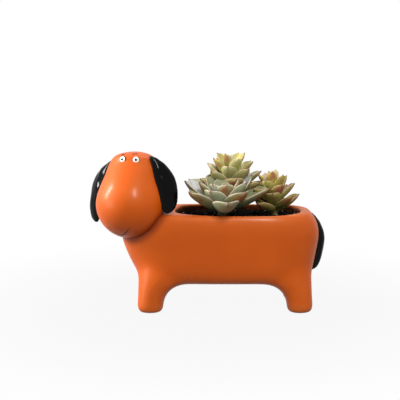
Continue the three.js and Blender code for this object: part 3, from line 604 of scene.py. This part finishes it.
# Ears. Two thick flaps in gloss black enamel, pegged and glued to the sides of the head. Each is
# pillowed and thins out to its tip, and the enamel has run on it as on the tail.
EAR_TURN = 38.5
EAR_WIDEST_HEIGHT = 11.5
EAR_BACK, EAR_SHOULDER = 31.8, 10
EAR_FRONT, EAR_FRONT_LEAN = 11, 3
EAR_HALF_THICKNESS, EAR_TIP_HALF, EAR_TOP_HALF = 4, 0.6, 1.6
EAR_TIP_WIDTH = 1
EAR_ROOT_OUT, EAR_TIP_OUT, EAR_BOW = 18, 31.5, 2


def ear_flap(name, side, bottom, top, tip, taper, node):
    """A flap, with a taper that lifts the back edge above the tip and draws the front edge out and up."""
    back_widest, front_widest = (EAR_BACK, EAR_WIDEST_HEIGHT), (EAR_FRONT, EAR_WIDEST_HEIGHT)
    thickest = (EAR_HALF_THICKNESS, EAR_WIDEST_HEIGHT)
    back = edge(
        bend((tip + EAR_TIP_WIDTH / 2, bottom), (EAR_BACK, bottom + taper[0]), back_widest),
        bend(back_widest, (EAR_BACK, top - EAR_SHOULDER), (EAR_FRONT, top)),
    )
    front = edge(
        bend((tip - EAR_TIP_WIDTH / 2, bottom), (EAR_FRONT + taper[1], bottom + taper[2]), front_widest),
        bend(front_widest, (EAR_FRONT - EAR_FRONT_LEAN, top)),
    )
    half = edge(
        bend((EAR_TIP_HALF, bottom), (EAR_HALF_THICKNESS, bottom), thickest),
        bend(thickest, (EAR_HALF_THICKNESS, top), (EAR_TOP_HALF, top)),
    )
    bow = (EAR_TIP_OUT - EAR_BOW, (top + bottom) / 2)
    face = edge(bend((EAR_TIP_OUT, bottom), bow, (EAR_ROOT_OUT, top)))
    points, faces = ring_stack(
        domed(bottom, top, 70), lambda z: face(z) - half(z), lambda z: face(z) + half(z), front, back,
    )
    turn = np.radians(EAR_TURN)
    x, y, z = points.T
    points = np.stack([x * np.cos(turn) - y * np.sin(turn), x * np.sin(turn) + y * np.cos(turn), z], 1)
    if side < 0:
        points = points * (1, -1, 1)
        faces = [face[::-1] for face in faces]
    flap = new_piece(name, on_head((points, faces)))
    cut(flap, new_piece("head_seat", head_body(GLUED)))
    remesh(flap, voxel=0.65)
    move_to(flap.data, relaxed(flap.data, rounds=8))
    mark_edges(flap.data, full=0.3)
    hang_runs(flap.data)
    fit(flap, BLACK, "pot", "gloss_black", node)


ear_flap("left_ear_flap", 1, bottom=-7.5, top=44.5, tip=20, taper=(2.5, 4, 3), node="left_ear")
ear_flap("right_ear_flap", -1, bottom=-18.5, top=38.5, tip=17, taper=(0, 0, 0), node="right_ear")

# Eyes. White enamelled buttons let into the brow, each with a black bead for a pupil and a thin
# dark line painted round it.
EYE_RADIUS, EYE_DOME, EYE_SINK = 2.9, 1.3, 2
EYE_SIDE, EYE_SPACING, EYE_HEIGHT = 1.2, 12.75, 41.3
EYE_UP = np.radians(14)
PUPIL_RADIUS, PUPIL_RISE, PUPIL_DOME = 1.25, 1.8, 1
EYE_LINE_GAP, EYE_LINE_SIZE = 0.15, (0.3, 0.35)


def face_at(y, z):
    """How far the face stands ahead of the neck axis."""
    middle, half = (head_front(z) + head_back(z)) / 2, (head_front(z) - head_back(z)) / 2
    return middle + half * np.sqrt(1 - (y / head_side(z)) ** 2)


def face_frame(y, z):
    """A point on the face, and the direction straight out of it."""
    step = 0.2
    slope_y = (face_at(y + step, z) - face_at(y - step, z)) / (2 * step)
    slope_z = (face_at(y, z + step) - face_at(y, z - step)) / (2 * step)
    out = np.array([1.0, -slope_y, -slope_z])
    return np.array([face_at(y, z), y, z]), out / np.linalg.norm(out)


def on_face(body, y, z):
    """A turned body, set in the face so that it looks a little up."""
    points, faces = body
    place, out = face_frame(y, z)
    level = out * (1, 1, 0) / np.hypot(out[0], out[1])
    look = level * np.cos(EYE_UP) + UP * np.sin(EYE_UP)
    turn = np.array(Vector(UP).rotation_difference(Vector(look)).to_matrix())
    return on_head((place + points @ turn.T, faces))


def eye_white(name):
    material, tree, shader = new_finish(name, Coat_Weight=0.5, Coat_Roughness=0.08)
    cloud = ranged(tree, grain(tree, 2.5), 0.35, 0.7)
    colour = blend(tree, cloud, "f1efe9", "e3dfd3")
    colour_in(tree, shader, colour, ranged(tree, grain(tree, 1.2), 0.3, 0.7, 0.18, 0.3))
    return material


def brushed_line(name, full, thin):
    """Brushed paint, from its full colour to a thinner one along the streaks."""
    material, tree, shader = new_finish(name, Specular_IOR_Level=0.1)
    streak = ranged(tree, grain(tree, 1.2), 0.4, 0.7)
    colour = blend(tree, streak, full, thin)
    colour_in(tree, shader, colour, ranged(tree, streak, 0.0, 1.0, 0.35, 0.55))
    return material


WHITE = eye_white("eye_white")
BROWN_LINE = brushed_line("brown_line", "4a220e", "6b3517")
dome = arc((0, 0), (EYE_RADIUS, EYE_DOME), 0, 90)
eye_profile = [(0, -EYE_SINK), (EYE_RADIUS, -EYE_SINK), *dome]
bead = arc((0, PUPIL_RISE - PUPIL_DOME), (PUPIL_RADIUS, PUPIL_DOME), 0, 90)
pupil_profile = [(0, 0), (PUPIL_RADIUS, 0), *bead]
outline = arc((EYE_RADIUS + EYE_LINE_GAP, 0), EYE_LINE_SIZE, -180, 180)
for name, side in (("left", 1), ("right", -1)):
    y = EYE_SIDE + side * EYE_SPACING / 2
    button = new_piece(f"{name}_eye_button", on_face(turned(eye_profile), y, EYE_HEIGHT))
    fit(button, WHITE, "pot", "eye_white", f"{name}_eye")
    pupil = new_piece(f"{name}_pupil_bead", on_face(turned(pupil_profile, sides=32), y, EYE_HEIGHT))
    fit(pupil, BLACK, "pot", "gloss_black", f"{name}_pupil")
    ring = new_piece(f"{name}_eye_line", on_face(turned(outline), y, EYE_HEIGHT))
    fit(ring, BROWN_LINE, "pot", "gloss_black")

# Brows and smile. Thin dark lines, drawn by brush on the painted head: two short brows above the
# eyes and one long smile low on the muzzle, thinner towards its ends.
LEFT_BROW = ((2.2, 45.45), (3.65, 46.1), (6.7, 45.6))
RIGHT_BROW = ((-8.45, 44.2), (-6.85, 45.15), (-4.45, 45.4))
BROW_LINE_WIDTH, BROW_LINE_HEIGHT = 1.7, 0.3
SMILE_MIDDLE, SMILE_SPREAD = -6, 25
SMILE_LOW, SMILE_RISE, SMILE_CURVE = -0.815, 0.26, 2.2
SMILE_WIDTH, SMILE_HEIGHT = 1.1, 0.16
LINE_SIDES, LINE_TAPER, LINE_END = 12, 0.7, 0.02
DARK_LINE = brushed_line("dark_line", "1c0f08", "3a1d0e")


def brush_line(name, path, width, height):
    """A raised line of paint along places on the face that are given by side and height."""
    frames = [face_frame(y, z) for y, z in path]
    places, outs = (np.array(column) for column in zip(*frames))
    along = np.gradient(places, axis=0)
    across = np.cross(along, outs)
    across /= np.linalg.norm(across, axis=1)[:, None]
    fullness = np.clip(1 - np.linspace(-1, 1, len(path)) ** 2, LINE_END, 1)
    taper = np.sqrt(fullness) ** LINE_TAPER * width / 2
    turn = np.arange(LINE_SIDES) * 2 * np.pi / LINE_SIDES
    rings = places[:, None] + across[:, None] * (taper[:, None] * np.cos(turn))[..., None]
    rings = rings + outs[:, None] * (height * np.sin(turn))[None, :, None]
    faces = quad_rows(len(path), LINE_SIDES) + end_faces(len(path), LINE_SIDES)
    line = new_piece(name, on_head((rings.reshape(-1, 3), faces)))
    fit(line, DARK_LINE, "pot", "gloss_black")


brush_line("right_brow_line", bend(*RIGHT_BROW)[::3], BROW_LINE_WIDTH, BROW_LINE_HEIGHT)
brush_line("left_brow_line", bend(*LEFT_BROW)[::3], BROW_LINE_WIDTH, BROW_LINE_HEIGHT)
t = np.linspace(-1, 1, CURVE_POINTS)
smile_turn = np.radians(SMILE_MIDDLE + SMILE_SPREAD * t)
smile_z = MUZZLE_RADIUS * (SMILE_LOW + SMILE_RISE * np.abs(t) ** SMILE_CURVE)
smile_y = np.sqrt(MUZZLE_RADIUS ** 2 - smile_z ** 2) * np.sin(smile_turn)
brush_line("smile_line", np.stack([smile_y, smile_z], 1), SMILE_WIDTH, SMILE_HEIGHT)

# Drain. A soft rubber stopper is pushed up into the hole in the floor of the trough, with a flange
# under the belly and a knob to pull. A disc of woven screen lies over the hole.
PLUG_TOP, FLANGE_TOP, FLANGE_LOW, KNOB_LOW = 33.7, 25.7, 23.7, 21.7
PLUG_RADIUS, FLANGE_RADIUS, KNOB_RADIUS = 5.3, 9, 3
LOWER_ROUND, KNOB_HOLLOW, FLANGE_ROUND, TIP_ROUND = 0.6, 0.5, 0.4, 0.8
STRAIGHT, STRAIGHT_TAPER, TIP_TAPER = 3, 0.1, 0.4


def matt_grey(name, tints, cloud, sheen, pit, roughness, **sockets):
    """Clouded grey with an uneven sheen and fine pits, each with lumps of its size in millimetres."""
    material, tree, shader = new_finish(name, **sockets)
    share = ranged(tree, grain(tree, cloud, 4.0), 0.3, 0.7)
    colour = blend(tree, share, *tints)
    colour_in(tree, shader, colour, ranged(tree, grain(tree, sheen), 0.3, 0.7, *roughness))
    roughen(tree, shader, grain(tree, pit, 2.0), 0.05, 0.6)
    return material


RUBBER = matt_grey(
    "plug_rubber", ("313131", "444341"), cloud=4, sheen=1.5, pit=0.7, roughness=(0.62, 0.8),
    Specular_IOR_Level=0.3,
)
WIRE = matt_grey("screen_mesh", ("84878a", "9a9c9c"), cloud=3, sheen=1.0, pit=0.5, roughness=(0.45, 0.65))
tip_radius, tip_height = PLUG_RADIUS - TIP_TAPER, PLUG_TOP - TIP_ROUND
stopper = new_piece("stopper", turned([
    (0, KNOB_LOW),
    *arc((KNOB_RADIUS - LOWER_ROUND, KNOB_LOW + LOWER_ROUND), LOWER_ROUND, -90, 0),
    *arc((KNOB_RADIUS + KNOB_HOLLOW, FLANGE_LOW - KNOB_HOLLOW), KNOB_HOLLOW, 180, 90),
    *arc((FLANGE_RADIUS - LOWER_ROUND, FLANGE_LOW + LOWER_ROUND), LOWER_ROUND, -90, 0),
    *arc((FLANGE_RADIUS - FLANGE_ROUND, FLANGE_TOP - FLANGE_ROUND), FLANGE_ROUND, 0, 90),
    (PLUG_RADIUS, FLANGE_TOP), (PLUG_RADIUS - STRAIGHT_TAPER, FLANGE_TOP + STRAIGHT),
    (tip_radius, tip_height), *arc((tip_radius - TIP_ROUND, tip_height), TIP_ROUND, 0, 90),
    (0, PLUG_TOP),
]))
fit(stopper, RUBBER, "plug", "plug_rubber", "drain_plug")
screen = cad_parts["drain_screen"]
screen.data.materials.clear()
screen.data.materials.append(WIRE)

# Drainage. A layer of rounded pebbles, a few millimetres across, lies on the floor of the trough
# and on the screen, under the soil.
GRAVEL_TOP = 46
PEBBLE_LAYERS, PEBBLE_GAP = (37.5, 40.5, 43.5), 2.6
STONE_LUMPS, STONE_DEPTH, STONE_FLATNESS = 1.3, 0.35, 0.7


def lumpy_stone(name, seed):
    """A small rounded stone, about one unit in radius."""
    shape = bmesh.new()
    bmesh.ops.create_icosphere(shape, subdivisions=2, radius=1)
    for vertex in shape.verts:
        vertex.co *= 1 + STONE_DEPTH * noise.noise(vertex.co * STONE_LUMPS + Vector((seed, 0, 0)))
    return mesh_object(name, shape)


def new_tree(name, *sockets):
    """A tree of geometry nodes with named inputs after its first one, which is a mesh."""
    tree = bpy.data.node_groups.new(name, "GeometryNodeTree")
    tree.interface.new_socket("Mesh", in_out="INPUT", socket_type="NodeSocketGeometry")
    for label, kind in sockets:
        tree.interface.new_socket(label, in_out="INPUT", socket_type=f"NodeSocket{kind}")
    tree.interface.new_socket("Mesh", in_out="OUTPUT", socket_type="NodeSocketGeometry")
    return tree, add(tree, "NodeGroupInput").outputs


def grow(piece, tree, **values):
    """Runs the tree on the piece, and keeps what it makes as a plain mesh."""
    step = piece.modifiers.new(tree.name, "NODES")
    step.node_group = tree
    for socket in tree.interface.items_tree:
        label = socket.name.replace(" ", "_")
        if socket.in_out == "INPUT" and label in values:
            step[socket.identifier] = values[label]
    settle(piece)


def keep_number(tree, instances, name, value):
    """Keeps one number for each instance, for the material to read."""
    sockets = {"Geometry": instances, "Name": name, "Value": value}
    return made(
        tree, "GeometryNodeStoreNamedAttribute", sockets, data_type="FLOAT", domain="INSTANCE",
    )


def hand_out(tree, mesh, material):
    """Gives the mesh its material, and makes it what the tree puts out."""
    dressed = made(tree, "GeometryNodeSetMaterial", {"Geometry": mesh, "Material": material})
    add(tree, "NodeGroupOutput", {0: dressed})


def strewing_tree():
    """Grains that lie apart on a surface, each turned and sized by chance."""
    tree, given = new_tree(
        "strewing", ("Grain", "Object"), ("Apart", "Float"), ("Density", "Float"),
        ("Smallest", "Float"), ("Largest", "Float"), ("Seed", "Int"), ("Material", "Material"),
    )
    spread = add(tree, "GeometryNodeDistributePointsOnFaces", {
        "Mesh": given["Mesh"], "Distance Min": given["Apart"], "Density Max": given["Density"],
        "Seed": given["Seed"],
    }, distribute_method="POISSON")
    stone = add(tree, "GeometryNodeObjectInfo", {"Object": given["Grain"]}).outputs["Geometry"]
    turn = made(tree, "FunctionNodeRandomValue", {
        0: (0, 0, 0), 1: (6.28, 6.28, 6.28), "Seed": given["Seed"],
    }, data_type="FLOAT_VECTOR")
    size = add(tree, "FunctionNodeRandomValue", {
        2: given["Smallest"], 3: given["Largest"], "Seed": given["Seed"],
    }).outputs[1]
    thickness = times(tree, size, STONE_FLATNESS)
    scale = made(tree, "ShaderNodeCombineXYZ", {0: size, 1: size, 2: thickness})
    tone = add(tree, "FunctionNodeRandomValue", {"Seed": given["Seed"]}).outputs[1]
    grains = made(tree, "GeometryNodeInstanceOnPoints", {
        "Points": spread.outputs["Points"], "Instance": stone, "Rotation": turn, "Scale": scale,
    })
    toned = keep_number(tree, grains, "tone", tone)
    real = made(tree, "GeometryNodeRealizeInstances", {"Geometry": toned})
    hand_out(tree, real, given["Material"])
    return tree


STREWING = strewing_tree()


def strew(name, surface, stone, material, apart, smallest, largest, seed):
    """Strews grains over a surface, which is used up by it. Sizes are in millimetres."""
    grains = new_piece(name, *surface)
    grow(
        grains, STREWING, Grain=stone, Apart=apart * MM, Density=4e6 / apart ** 2,
        Smallest=smallest * MM / 2, Largest=largest * MM / 2, Seed=seed, Material=material,
    )
    return grains


def pebble(name):
    material, tree, shader = new_finish(name)
    cloud = ranged(tree, grain(tree, 1.5, 4.0), 0.3, 0.7)
    light = blend(tree, cloud, "a79f94", "c1bab0")
    dark = blend(tree, cloud, "6f675e", "8b8279")
    colour = blend(tree, painted(tree, "tone"), dark, light)
    colour_in(tree, shader, colour, ranged(tree, cloud, 0.0, 1.0, 0.7, 0.9))
    roughen(tree, shader, grain(tree, 0.6, 3.0), 0.08)
    return material


def trough_sheet(z, gap):
    """A level sheet across the trough."""
    points, faces = trough_filling([z, z + 1], gap)
    return points[:len(points) // 2], [faces[-2][::-1]]


stone = lumpy_stone("stone", seed=3)
sheets = [trough_sheet(z, PEBBLE_GAP) for z in PEBBLE_LAYERS]
pebbles = strew("pebbles", sheets, stone, pebble("pebble"), apart=4.3, smallest=3.6, largest=5.0, seed=11)
fit(pebbles, pebbles.data.materials[0], "pot", "gravel", "drainage_gravel")

# Potting soil. A dark peaty block fills the trough to just below its rim. Crumbs of peat and a
# few white grains of grit lie loose on it.
SOIL_TOP, SOIL_MIDDLE, SOIL_GAP = 86, 60, 0.5
LUMP_SIZE, TOP_LUMPS, SIDE_LUMPS = 6, 0.9, 0.5
GRIT_RISE = 0.6


def dark_soil(name):
    material, tree, shader = new_finish(name, Specular_IOR_Level=0.05)
    cloud = ranged(tree, grain(tree, 5, 6.0), 0.3, 0.7)
    colour = blend(tree, cloud, "060504", "15100b")
    fibre = ranged(tree, grain(tree, 0.8, 2.0), 0.62, 0.72, 0.0, 0.6)
    colour = blend(tree, fibre, colour, "3c2e1e")
    colour_in(tree, shader, colour, ranged(tree, cloud, 0.0, 1.0, 0.8, 1.0))
    roughen(tree, shader, grain(tree, 1.4, 6.0), 0.6)
    return material


def dull_cloud(name, tints, cloud, low, roughness, pit, depth):
    """Two tints in clouds above the low level, the second one duller, with pits of a size and depth."""
    material, tree, shader = new_finish(name)
    share = ranged(tree, grain(tree, cloud, 4.0), low, 0.7)
    colour_in(tree, shader, blend(tree, share, *tints), ranged(tree, share, 0.0, 1.0, *roughness))
    roughen(tree, shader, grain(tree, pit, 3.0), depth)
    return material


soil_levels = (GRAVEL_TOP + SOIL_GAP, SOIL_MIDDLE, SOIL_TOP)
soil_block = new_piece("soil_block", trough_filling(soil_levels, SOIL_GAP))
remesh(soil_block, voxel=1.5)
move_to(soil_block.data, relaxed(soil_block.data, rounds=3))
ground = places_of(soil_block.data) / (LUMP_SIZE * MM)
lump = np.array([noise.fractal(Vector(place), 0.7, 2.0, 3) for place in ground])
on_top = rise(normals_of(soil_block.data)[:, 2], 0.5, 0.9)
lift_out(soil_block.data, on_top * TOP_LUMPS * lump - (1 - on_top) * SIDE_LUMPS * np.abs(lump))
SOIL = dark_soil("dark_soil")
fit(soil_block, SOIL, "planting", "soil", "potting_soil")
crumb_sheet = trough_sheet(SOIL_TOP, gap=2)
crumbs = strew("soil_crumbs", [crumb_sheet], stone, SOIL, apart=2.4, smallest=1.2, largest=3.2, seed=5)
fit(crumbs, SOIL, "planting", "soil")
GRIT = dull_cloud(
    "white_grit", ("e8e4da", "b9b0a0"), cloud=0.9, low=0.35, roughness=(0.75, 0.9), pit=0.4, depth=0.1,
)
grit_sheet = trough_sheet(SOIL_TOP + GRIT_RISE, gap=3)
grit = strew("soil_grit", [grit_sheet], stone, GRIT, apart=15, smallest=0.8, largest=1.8, seed=23)
fit(grit, GRIT, "planting", "soil")
bpy.data.objects.remove(stone)

# Succulents. Three rosettes of thick, cupped leaves stand in the soil. The leaves follow each other
# round a short stem by the golden angle, from the youngest in the middle to the oldest outside.
GOLDEN_ANGLE = np.radians(137.508)
LEAF_FLESH, LEAF_KEEL, LEAF_CURL, LEAF_CUP = 0.26, 0.65, 0.3, 0.2
LEAF_FOOT, LEAF_SWELL, LEAF_WIDEST, LEAF_SHOULDER = 0.2, 0.28, 0.62, 0.9
LEAF_POINT, LEAF_DRAW, LEAF_END, LEAF_BLUNT = (0.07, 0.975), (0.03, 0.985), 1.03, 1.04
TILT_PLAY, TURN_PLAY = 0.06, 0.08
ROOT_DEPTH = 14


def unit_leaf(name):
    """A leaf one unit wide and one long that grows upwards, with its upper face towards -X."""
    sides = 24
    half = edge(
        bend((LEAF_FOOT, 0), (0.5, LEAF_SWELL), (0.5, LEAF_WIDEST)),
        bend((0.5, LEAF_WIDEST), (0.5, LEAF_SHOULDER), LEAF_POINT),
        bend(LEAF_POINT, LEAF_DRAW, (0, LEAF_END)),
    )
    z = np.r_[np.linspace(0, 0.8, 12), np.linspace(0.83, LEAF_END, 10)][:, None]
    rows = len(z)
    turn = np.arange(sides) * 2 * np.pi / sides
    c, s = np.cos(turn), np.sin(turn)
    deep = LEAF_FLESH * np.sqrt(np.clip(1 - (z / LEAF_BLUNT) ** 4, 0, 1))
    thick = np.where(s > 0, LEAF_KEEL * np.abs(s) ** 1.3, (LEAF_KEEL - 1) * np.abs(s) ** 0.8)
    x = deep * thick - LEAF_CURL * z ** 2 - LEAF_CUP * 2 * half(z) * c ** 2
    points = np.stack([x, half(z) * c, np.broadcast_to(z, x.shape)], -1).reshape(-1, 3)
    faces = quad_rows(rows, sides) + end_faces(rows, sides)[:1]
    mesh = bpy.data.meshes.new(name)
    mesh.from_pydata(points.tolist(), [], faces)
    mesh.shade_smooth()
    paint_on(mesh, "along", np.repeat(z.ravel(), sides))
    paint_on(mesh, "margin", np.tile(np.abs(c), rows))
    paint_on(mesh, "under", np.tile(np.clip(s * 2 + 0.5, 0, 1), rows))
    return mesh


def rosette_tree():
    """Leaves round a stem. Sizes run from the youngest leaf to the oldest."""
    ranges = [f"{end} {size}" for size in ("Tilt", "Length", "Width", "Height") for end in ("Young", "Old")]
    tree, given = new_tree(
        "rosette", ("Leaves", "Int"), ("Start", "Float"), ("Foot", "Vector"), ("Lean", "Vector"),
        ("Seed", "Int"), ("Material", "Material"), ("Opening", "Float"), ("Growth", "Float"),
        *((label, "Float") for label in ranges),
    )

    def math(operation, a, b):
        return made(tree, "ShaderNodeMath", {0: a, 1: b}, operation=operation)

    def between(share, size):
        ends = {0: share, 2: given[f"Young {size}"], 3: given[f"Old {size}"]}
        return made(tree, "ShaderNodeMix", ends)

    def chance(low, high, seed):
        sockets = {2: low, 3: high, "Seed": math("ADD", given["Seed"], seed)}
        return add(tree, "FunctionNodeRandomValue", sockets).outputs[1]

    index = made(tree, "GeometryNodeInputIndex")
    age = math("DIVIDE", index, math("SUBTRACT", given["Leaves"], 1.0))
    opened, grown = math("POWER", age, given["Opening"]), math("POWER", age, given["Growth"])
    tilt = math("ADD", between(opened, "Tilt"), chance(-TILT_PLAY, TILT_PLAY, 1.0))
    direction = math("ADD", given["Start"], math("MULTIPLY", index, GOLDEN_ANGLE))
    direction = math("ADD", direction, chance(-TURN_PLAY, TURN_PLAY, 2.0))
    length = math("MULTIPLY", between(grown, "Length"), chance(0.94, 1.02, 3.0))
    width = math("MULTIPLY", between(grown, "Width"), chance(0.95, 1.05, 4.0))
    place = made(tree, "ShaderNodeCombineXYZ", {2: between(age, "Height")})
    points = made(tree, "GeometryNodePoints", {"Count": given["Leaves"], "Position": place})
    euler = made(tree, "ShaderNodeCombineXYZ", {1: tilt, 2: direction})
    turn = made(tree, "FunctionNodeEulerToRotation", {0: euler})
    scale = made(tree, "ShaderNodeCombineXYZ", {0: width, 1: width, 2: length})
    leaves = made(tree, "GeometryNodeInstanceOnPoints", {
        "Points": points, "Instance": given["Mesh"], "Rotation": turn, "Scale": scale,
    })
    aged = keep_number(tree, leaves, "age", age)
    toned = keep_number(tree, aged, "tone", chance(0.0, 1.0, 5.0))
    real = made(tree, "GeometryNodeRealizeInstances", {"Geometry": toned})
    lean = made(tree, "FunctionNodeEulerToRotation", {0: given["Lean"]})
    standing = made(tree, "GeometryNodeTransform", {
        "Geometry": real, "Translation": given["Foot"], "Rotation": lean,
    })
    hand_out(tree, standing, given["Material"])
    return tree


def leaf_skin(name, young, old, bloom, blush, margin, tip):
    """Waxy leaf: some leaves are pale with bloom above, others blush along the keel below."""
    material, tree, shader = new_finish(
        name, Subsurface_Weight=0.12, Subsurface_Radius=(0.004, 0.004, 0.002), Specular_IOR_Level=0.25,
    )
    labels = ("along", "under", "age", "tone", "margin")
    along, under, age, tone, edgewise = (painted(tree, label) for label in labels)
    cloud = grain(tree, 9, 5.0)
    colour = blend(tree, ranged(tree, age, 0.0, 0.8), young, old)
    wax = times(
        tree, ranged(tree, cloud, 0.3, 0.6, 0.4, 1.0), ranged(tree, tone, 0.25, 0.9, 0.1, 0.9),
        ranged(tree, under, 0.0, 1.0, 1.0, 0.2), ranged(tree, age, 0.5, 1.0, 1.0, 0.55),
    )
    colour = blend(tree, wax, colour, bloom)
    # Painted shade towards the foot of each leaf, where the leaves crowd, with a deeper green there as well.
    colour = blend(tree, ranged(tree, along, 0.05, 0.5, 0.65, 0.0), colour, "33381c")
    warm = times(
        tree, ranged(tree, along, 0.4, 0.8), ranged(tree, edgewise, 0.55, 0.95, 1.0, 0.3),
        ranged(tree, under, 0.0, 1.0, 0.35, 1.0), ranged(tree, tone, 0.2, 0.9, 1.0, 0.25),
        ranged(tree, grain(tree, 5, 3.0), 0.3, 0.6, 0.3, 1.0),
    )
    colour = blend(tree, warm, colour, blush)
    rim = times(tree, ranged(tree, edgewise, 0.9, 1.0), ranged(tree, along, 0.2, 0.7, 0.0, 0.65))
    colour = blend(tree, rim, colour, margin)
    colour = blend(tree, ranged(tree, along, 0.94, 1.02, 0.0, 0.8), colour, tip)
    colour_in(tree, shader, colour, ranged(tree, cloud, 0.3, 0.7, 0.48, 0.68))
    roughen(tree, shader, grain(tree, 1.2, 3.0), 0.08, 0.6)
    return material


STEM = dull_cloud(
    "green_stem", ("4c4a26", "6a5a34"), cloud=3, low=0.3, roughness=(0.55, 0.75), pit=0.9, depth=0.2,
)
ROSETTE = rosette_tree()


def plant(name, hue, tints, x, y, lean, stem, leaves, start, ease, tilt, length, width, height, seed):
    """A rosette on its stem. Pairs of sizes run from the youngest leaf to the oldest."""
    skin, slot = leaf_skin(f"{hue}_leaf", *tints), f"leaf_{hue}"
    foot = np.array([x, y, SOIL_TOP])
    lean = Euler(np.radians((*lean, 0)))
    root = bend((stem / 2, -ROOT_DEPTH), (stem, -ROOT_DEPTH / 2), (stem, 0))[::6]
    crown = [(stem * 0.9, height[0] - 2), (stem / 2, height[0]), (0, height[0] + 1)]
    points, faces = turned([(0, -ROOT_DEPTH), *root, *crown], sides=24)
    stalk = new_piece(f"{name}_stem", (foot + points @ np.array(lean.to_matrix()).T, faces))
    fit(stalk, STEM, "planting", slot)
    rosette = new_object(f"{name}_rosette", unit_leaf(f"{name}_leaf"))
    grow(
        rosette, ROSETTE, Leaves=leaves, Start=np.radians(start), Seed=seed, Material=skin,
        Foot=((foot + TROUGH_MIDDLE) * MM).tolist(), Lean=lean[:], Opening=ease[0], Growth=ease[1],
        Young_Tilt=np.radians(tilt[0]), Old_Tilt=np.radians(tilt[1]),
        Young_Length=length[0] * MM, Old_Length=length[1] * MM,
        Young_Width=width[0] * MM, Old_Width=width[1] * MM,
        Young_Height=height[0] * MM, Old_Height=height[1] * MM,
    )
    fit(rosette, skin, "planting", slot, f"{name}_succulent")


plant(
    "front", "blue", ("8f9f7a", "7c8a5e", "d8d8e0", "92562f", "d8c0a8", "7a463a"),
    x=-14, y=-7, lean=(9, 0), stem=4, leaves=25, start=210, ease=(0.8, 0.65),
    tilt=(12, 75), length=(11, 48), width=(8, 25), height=(11, 7.5), seed=1,
)
plant(
    "back", "yellow", ("b0b455", "8a9650", "d4d0cc", "9c5848", "d0a08a", "7a443c"),
    x=-5.5, y=15, lean=(3, 0), stem=4, leaves=24, start=100, ease=(0.3, 0.4),
    tilt=(14, 70), length=(15, 36), width=(8, 18), height=(40, 12), seed=2,
)
plant(
    "right", "pink", ("a8ac3c", "908f3e", "c6ab98", "a25a4a", "c89682", "6c3a34"),
    x=35, y=2, lean=(4, -7), stem=3, leaves=21, start=140, ease=(0.4, 0.4),
    tilt=(12, 74), length=(17, 28), width=(8, 15), height=(25, 4), seed=3,
)

# Studio. A pale floor without edges, a tall softbox on the left with a low card below it, a softbox
# in front on the right, a square one above, and a camera a metre away at table height.
AIM = (TROUGH_MIDDLE + (-34.9, 0, 100.6)) * MM
CAMERA_ELEVATION = np.radians(9.5)
CAMERA_DISTANCE = 1.0
LENS = 96.75
LAMP_AIM = Vector((-0.03, 0, 0.08))
FLOOR_RADIUS = 12
FLOOR_FADE, FLOOR_WHITE = (0.1, 0.35), (0.92, 1.0)
ROOM_LIGHT = 0.38


def seen_directly(tree):
    """1 for what the camera, a reflection or a clear piece sees, 0 for what lights the scene."""
    path = add(tree, "ShaderNodeLightPath").outputs
    seen = made(tree, "ShaderNodeMath", {0: path["Is Camera Ray"], 1: path["Is Glossy Ray"]})
    sockets = {0: seen, 1: path["Is Transmission Ray"]}
    return made(tree, "ShaderNodeMath", sockets, use_clamp=True)


def pale_floor(name):
    material = bpy.data.materials.new(name)
    material.use_nodes = True
    tree = material.node_tree
    tree.nodes.clear()
    matt = made(tree, "ShaderNodeBsdfDiffuse", {"Color": tint("585858")})
    white = made(tree, "ShaderNodeEmission", {"Color": tint("ffffff"), "Strength": 1.0})
    away = add(tree, "ShaderNodeVectorMath", {0: object_place(tree)}, operation="LENGTH").outputs["Value"]
    share = times(tree, seen_directly(tree), ranged(tree, away, *FLOOR_FADE, *FLOOR_WHITE))
    mixed = made(tree, "ShaderNodeMixShader", {0: share, 1: matt, 2: white})
    add(tree, "ShaderNodeOutputMaterial", {"Surface": mixed})
    return material


def softbox(name, direction, distance, width, height, power):
    lamp = bpy.data.lights.new(name, "AREA")
    lamp.shape = "RECTANGLE"
    lamp.size, lamp.size_y = width, height
    lamp.energy = power
    box = new_object(name, lamp)
    towards = Vector(direction).normalized()
    box.location = LAMP_AIM + towards * distance
    box.rotation_euler = (-towards).to_track_quat("-Z", "Y").to_euler()
    box.visible_camera = False


sweep = bmesh.new()
bmesh.ops.create_circle(sweep, cap_ends=True, segments=96, radius=FLOOR_RADIUS)
floor = mesh_object("floor", sweep)
floor.data.materials.append(pale_floor("pale_floor"))

softbox("left_softbox", (-0.87, 0.02, 0.46), distance=0.9, width=0.16, height=0.42, power=13.2)
softbox("front_softbox", (0.24, -0.7, 0.66), distance=1.0, width=0.14, height=0.36, power=8.0)
softbox("top_softbox", (0.25, 0.35, 0.9), distance=1.0, width=0.3, height=0.3, power=2.0)
softbox("low_card", (-0.92, -0.38, 0.05), distance=0.8, width=0.4, height=0.25, power=1.6)

world = bpy.data.worlds.new("studio")
bpy.context.scene.world = world
world.use_nodes = True
sky = world.node_tree
sky.nodes.clear()
fill = made(sky, "ShaderNodeBackground", {"Color": tint("ffffff"), "Strength": ROOM_LIGHT})
white = made(sky, "ShaderNodeBackground", {"Color": tint("ffffff"), "Strength": 1.0})
mixed = made(sky, "ShaderNodeMixShader", {0: seen_directly(sky), 1: fill, 2: white})
add(sky, "ShaderNodeOutputWorld", {"Surface": mixed})

lens = bpy.data.cameras.new("camera")
lens.lens = LENS
camera = new_object("camera", lens)
back_off = np.array([0, -np.cos(CAMERA_ELEVATION), np.sin(CAMERA_ELEVATION)])
camera.location = AIM + CAMERA_DISTANCE * back_off
camera.rotation_euler = (np.pi / 2 - CAMERA_ELEVATION, 0, 0)
bpy.context.scene.camera = camera
bpy.context.scene.view_settings.view_transform = "Standard"
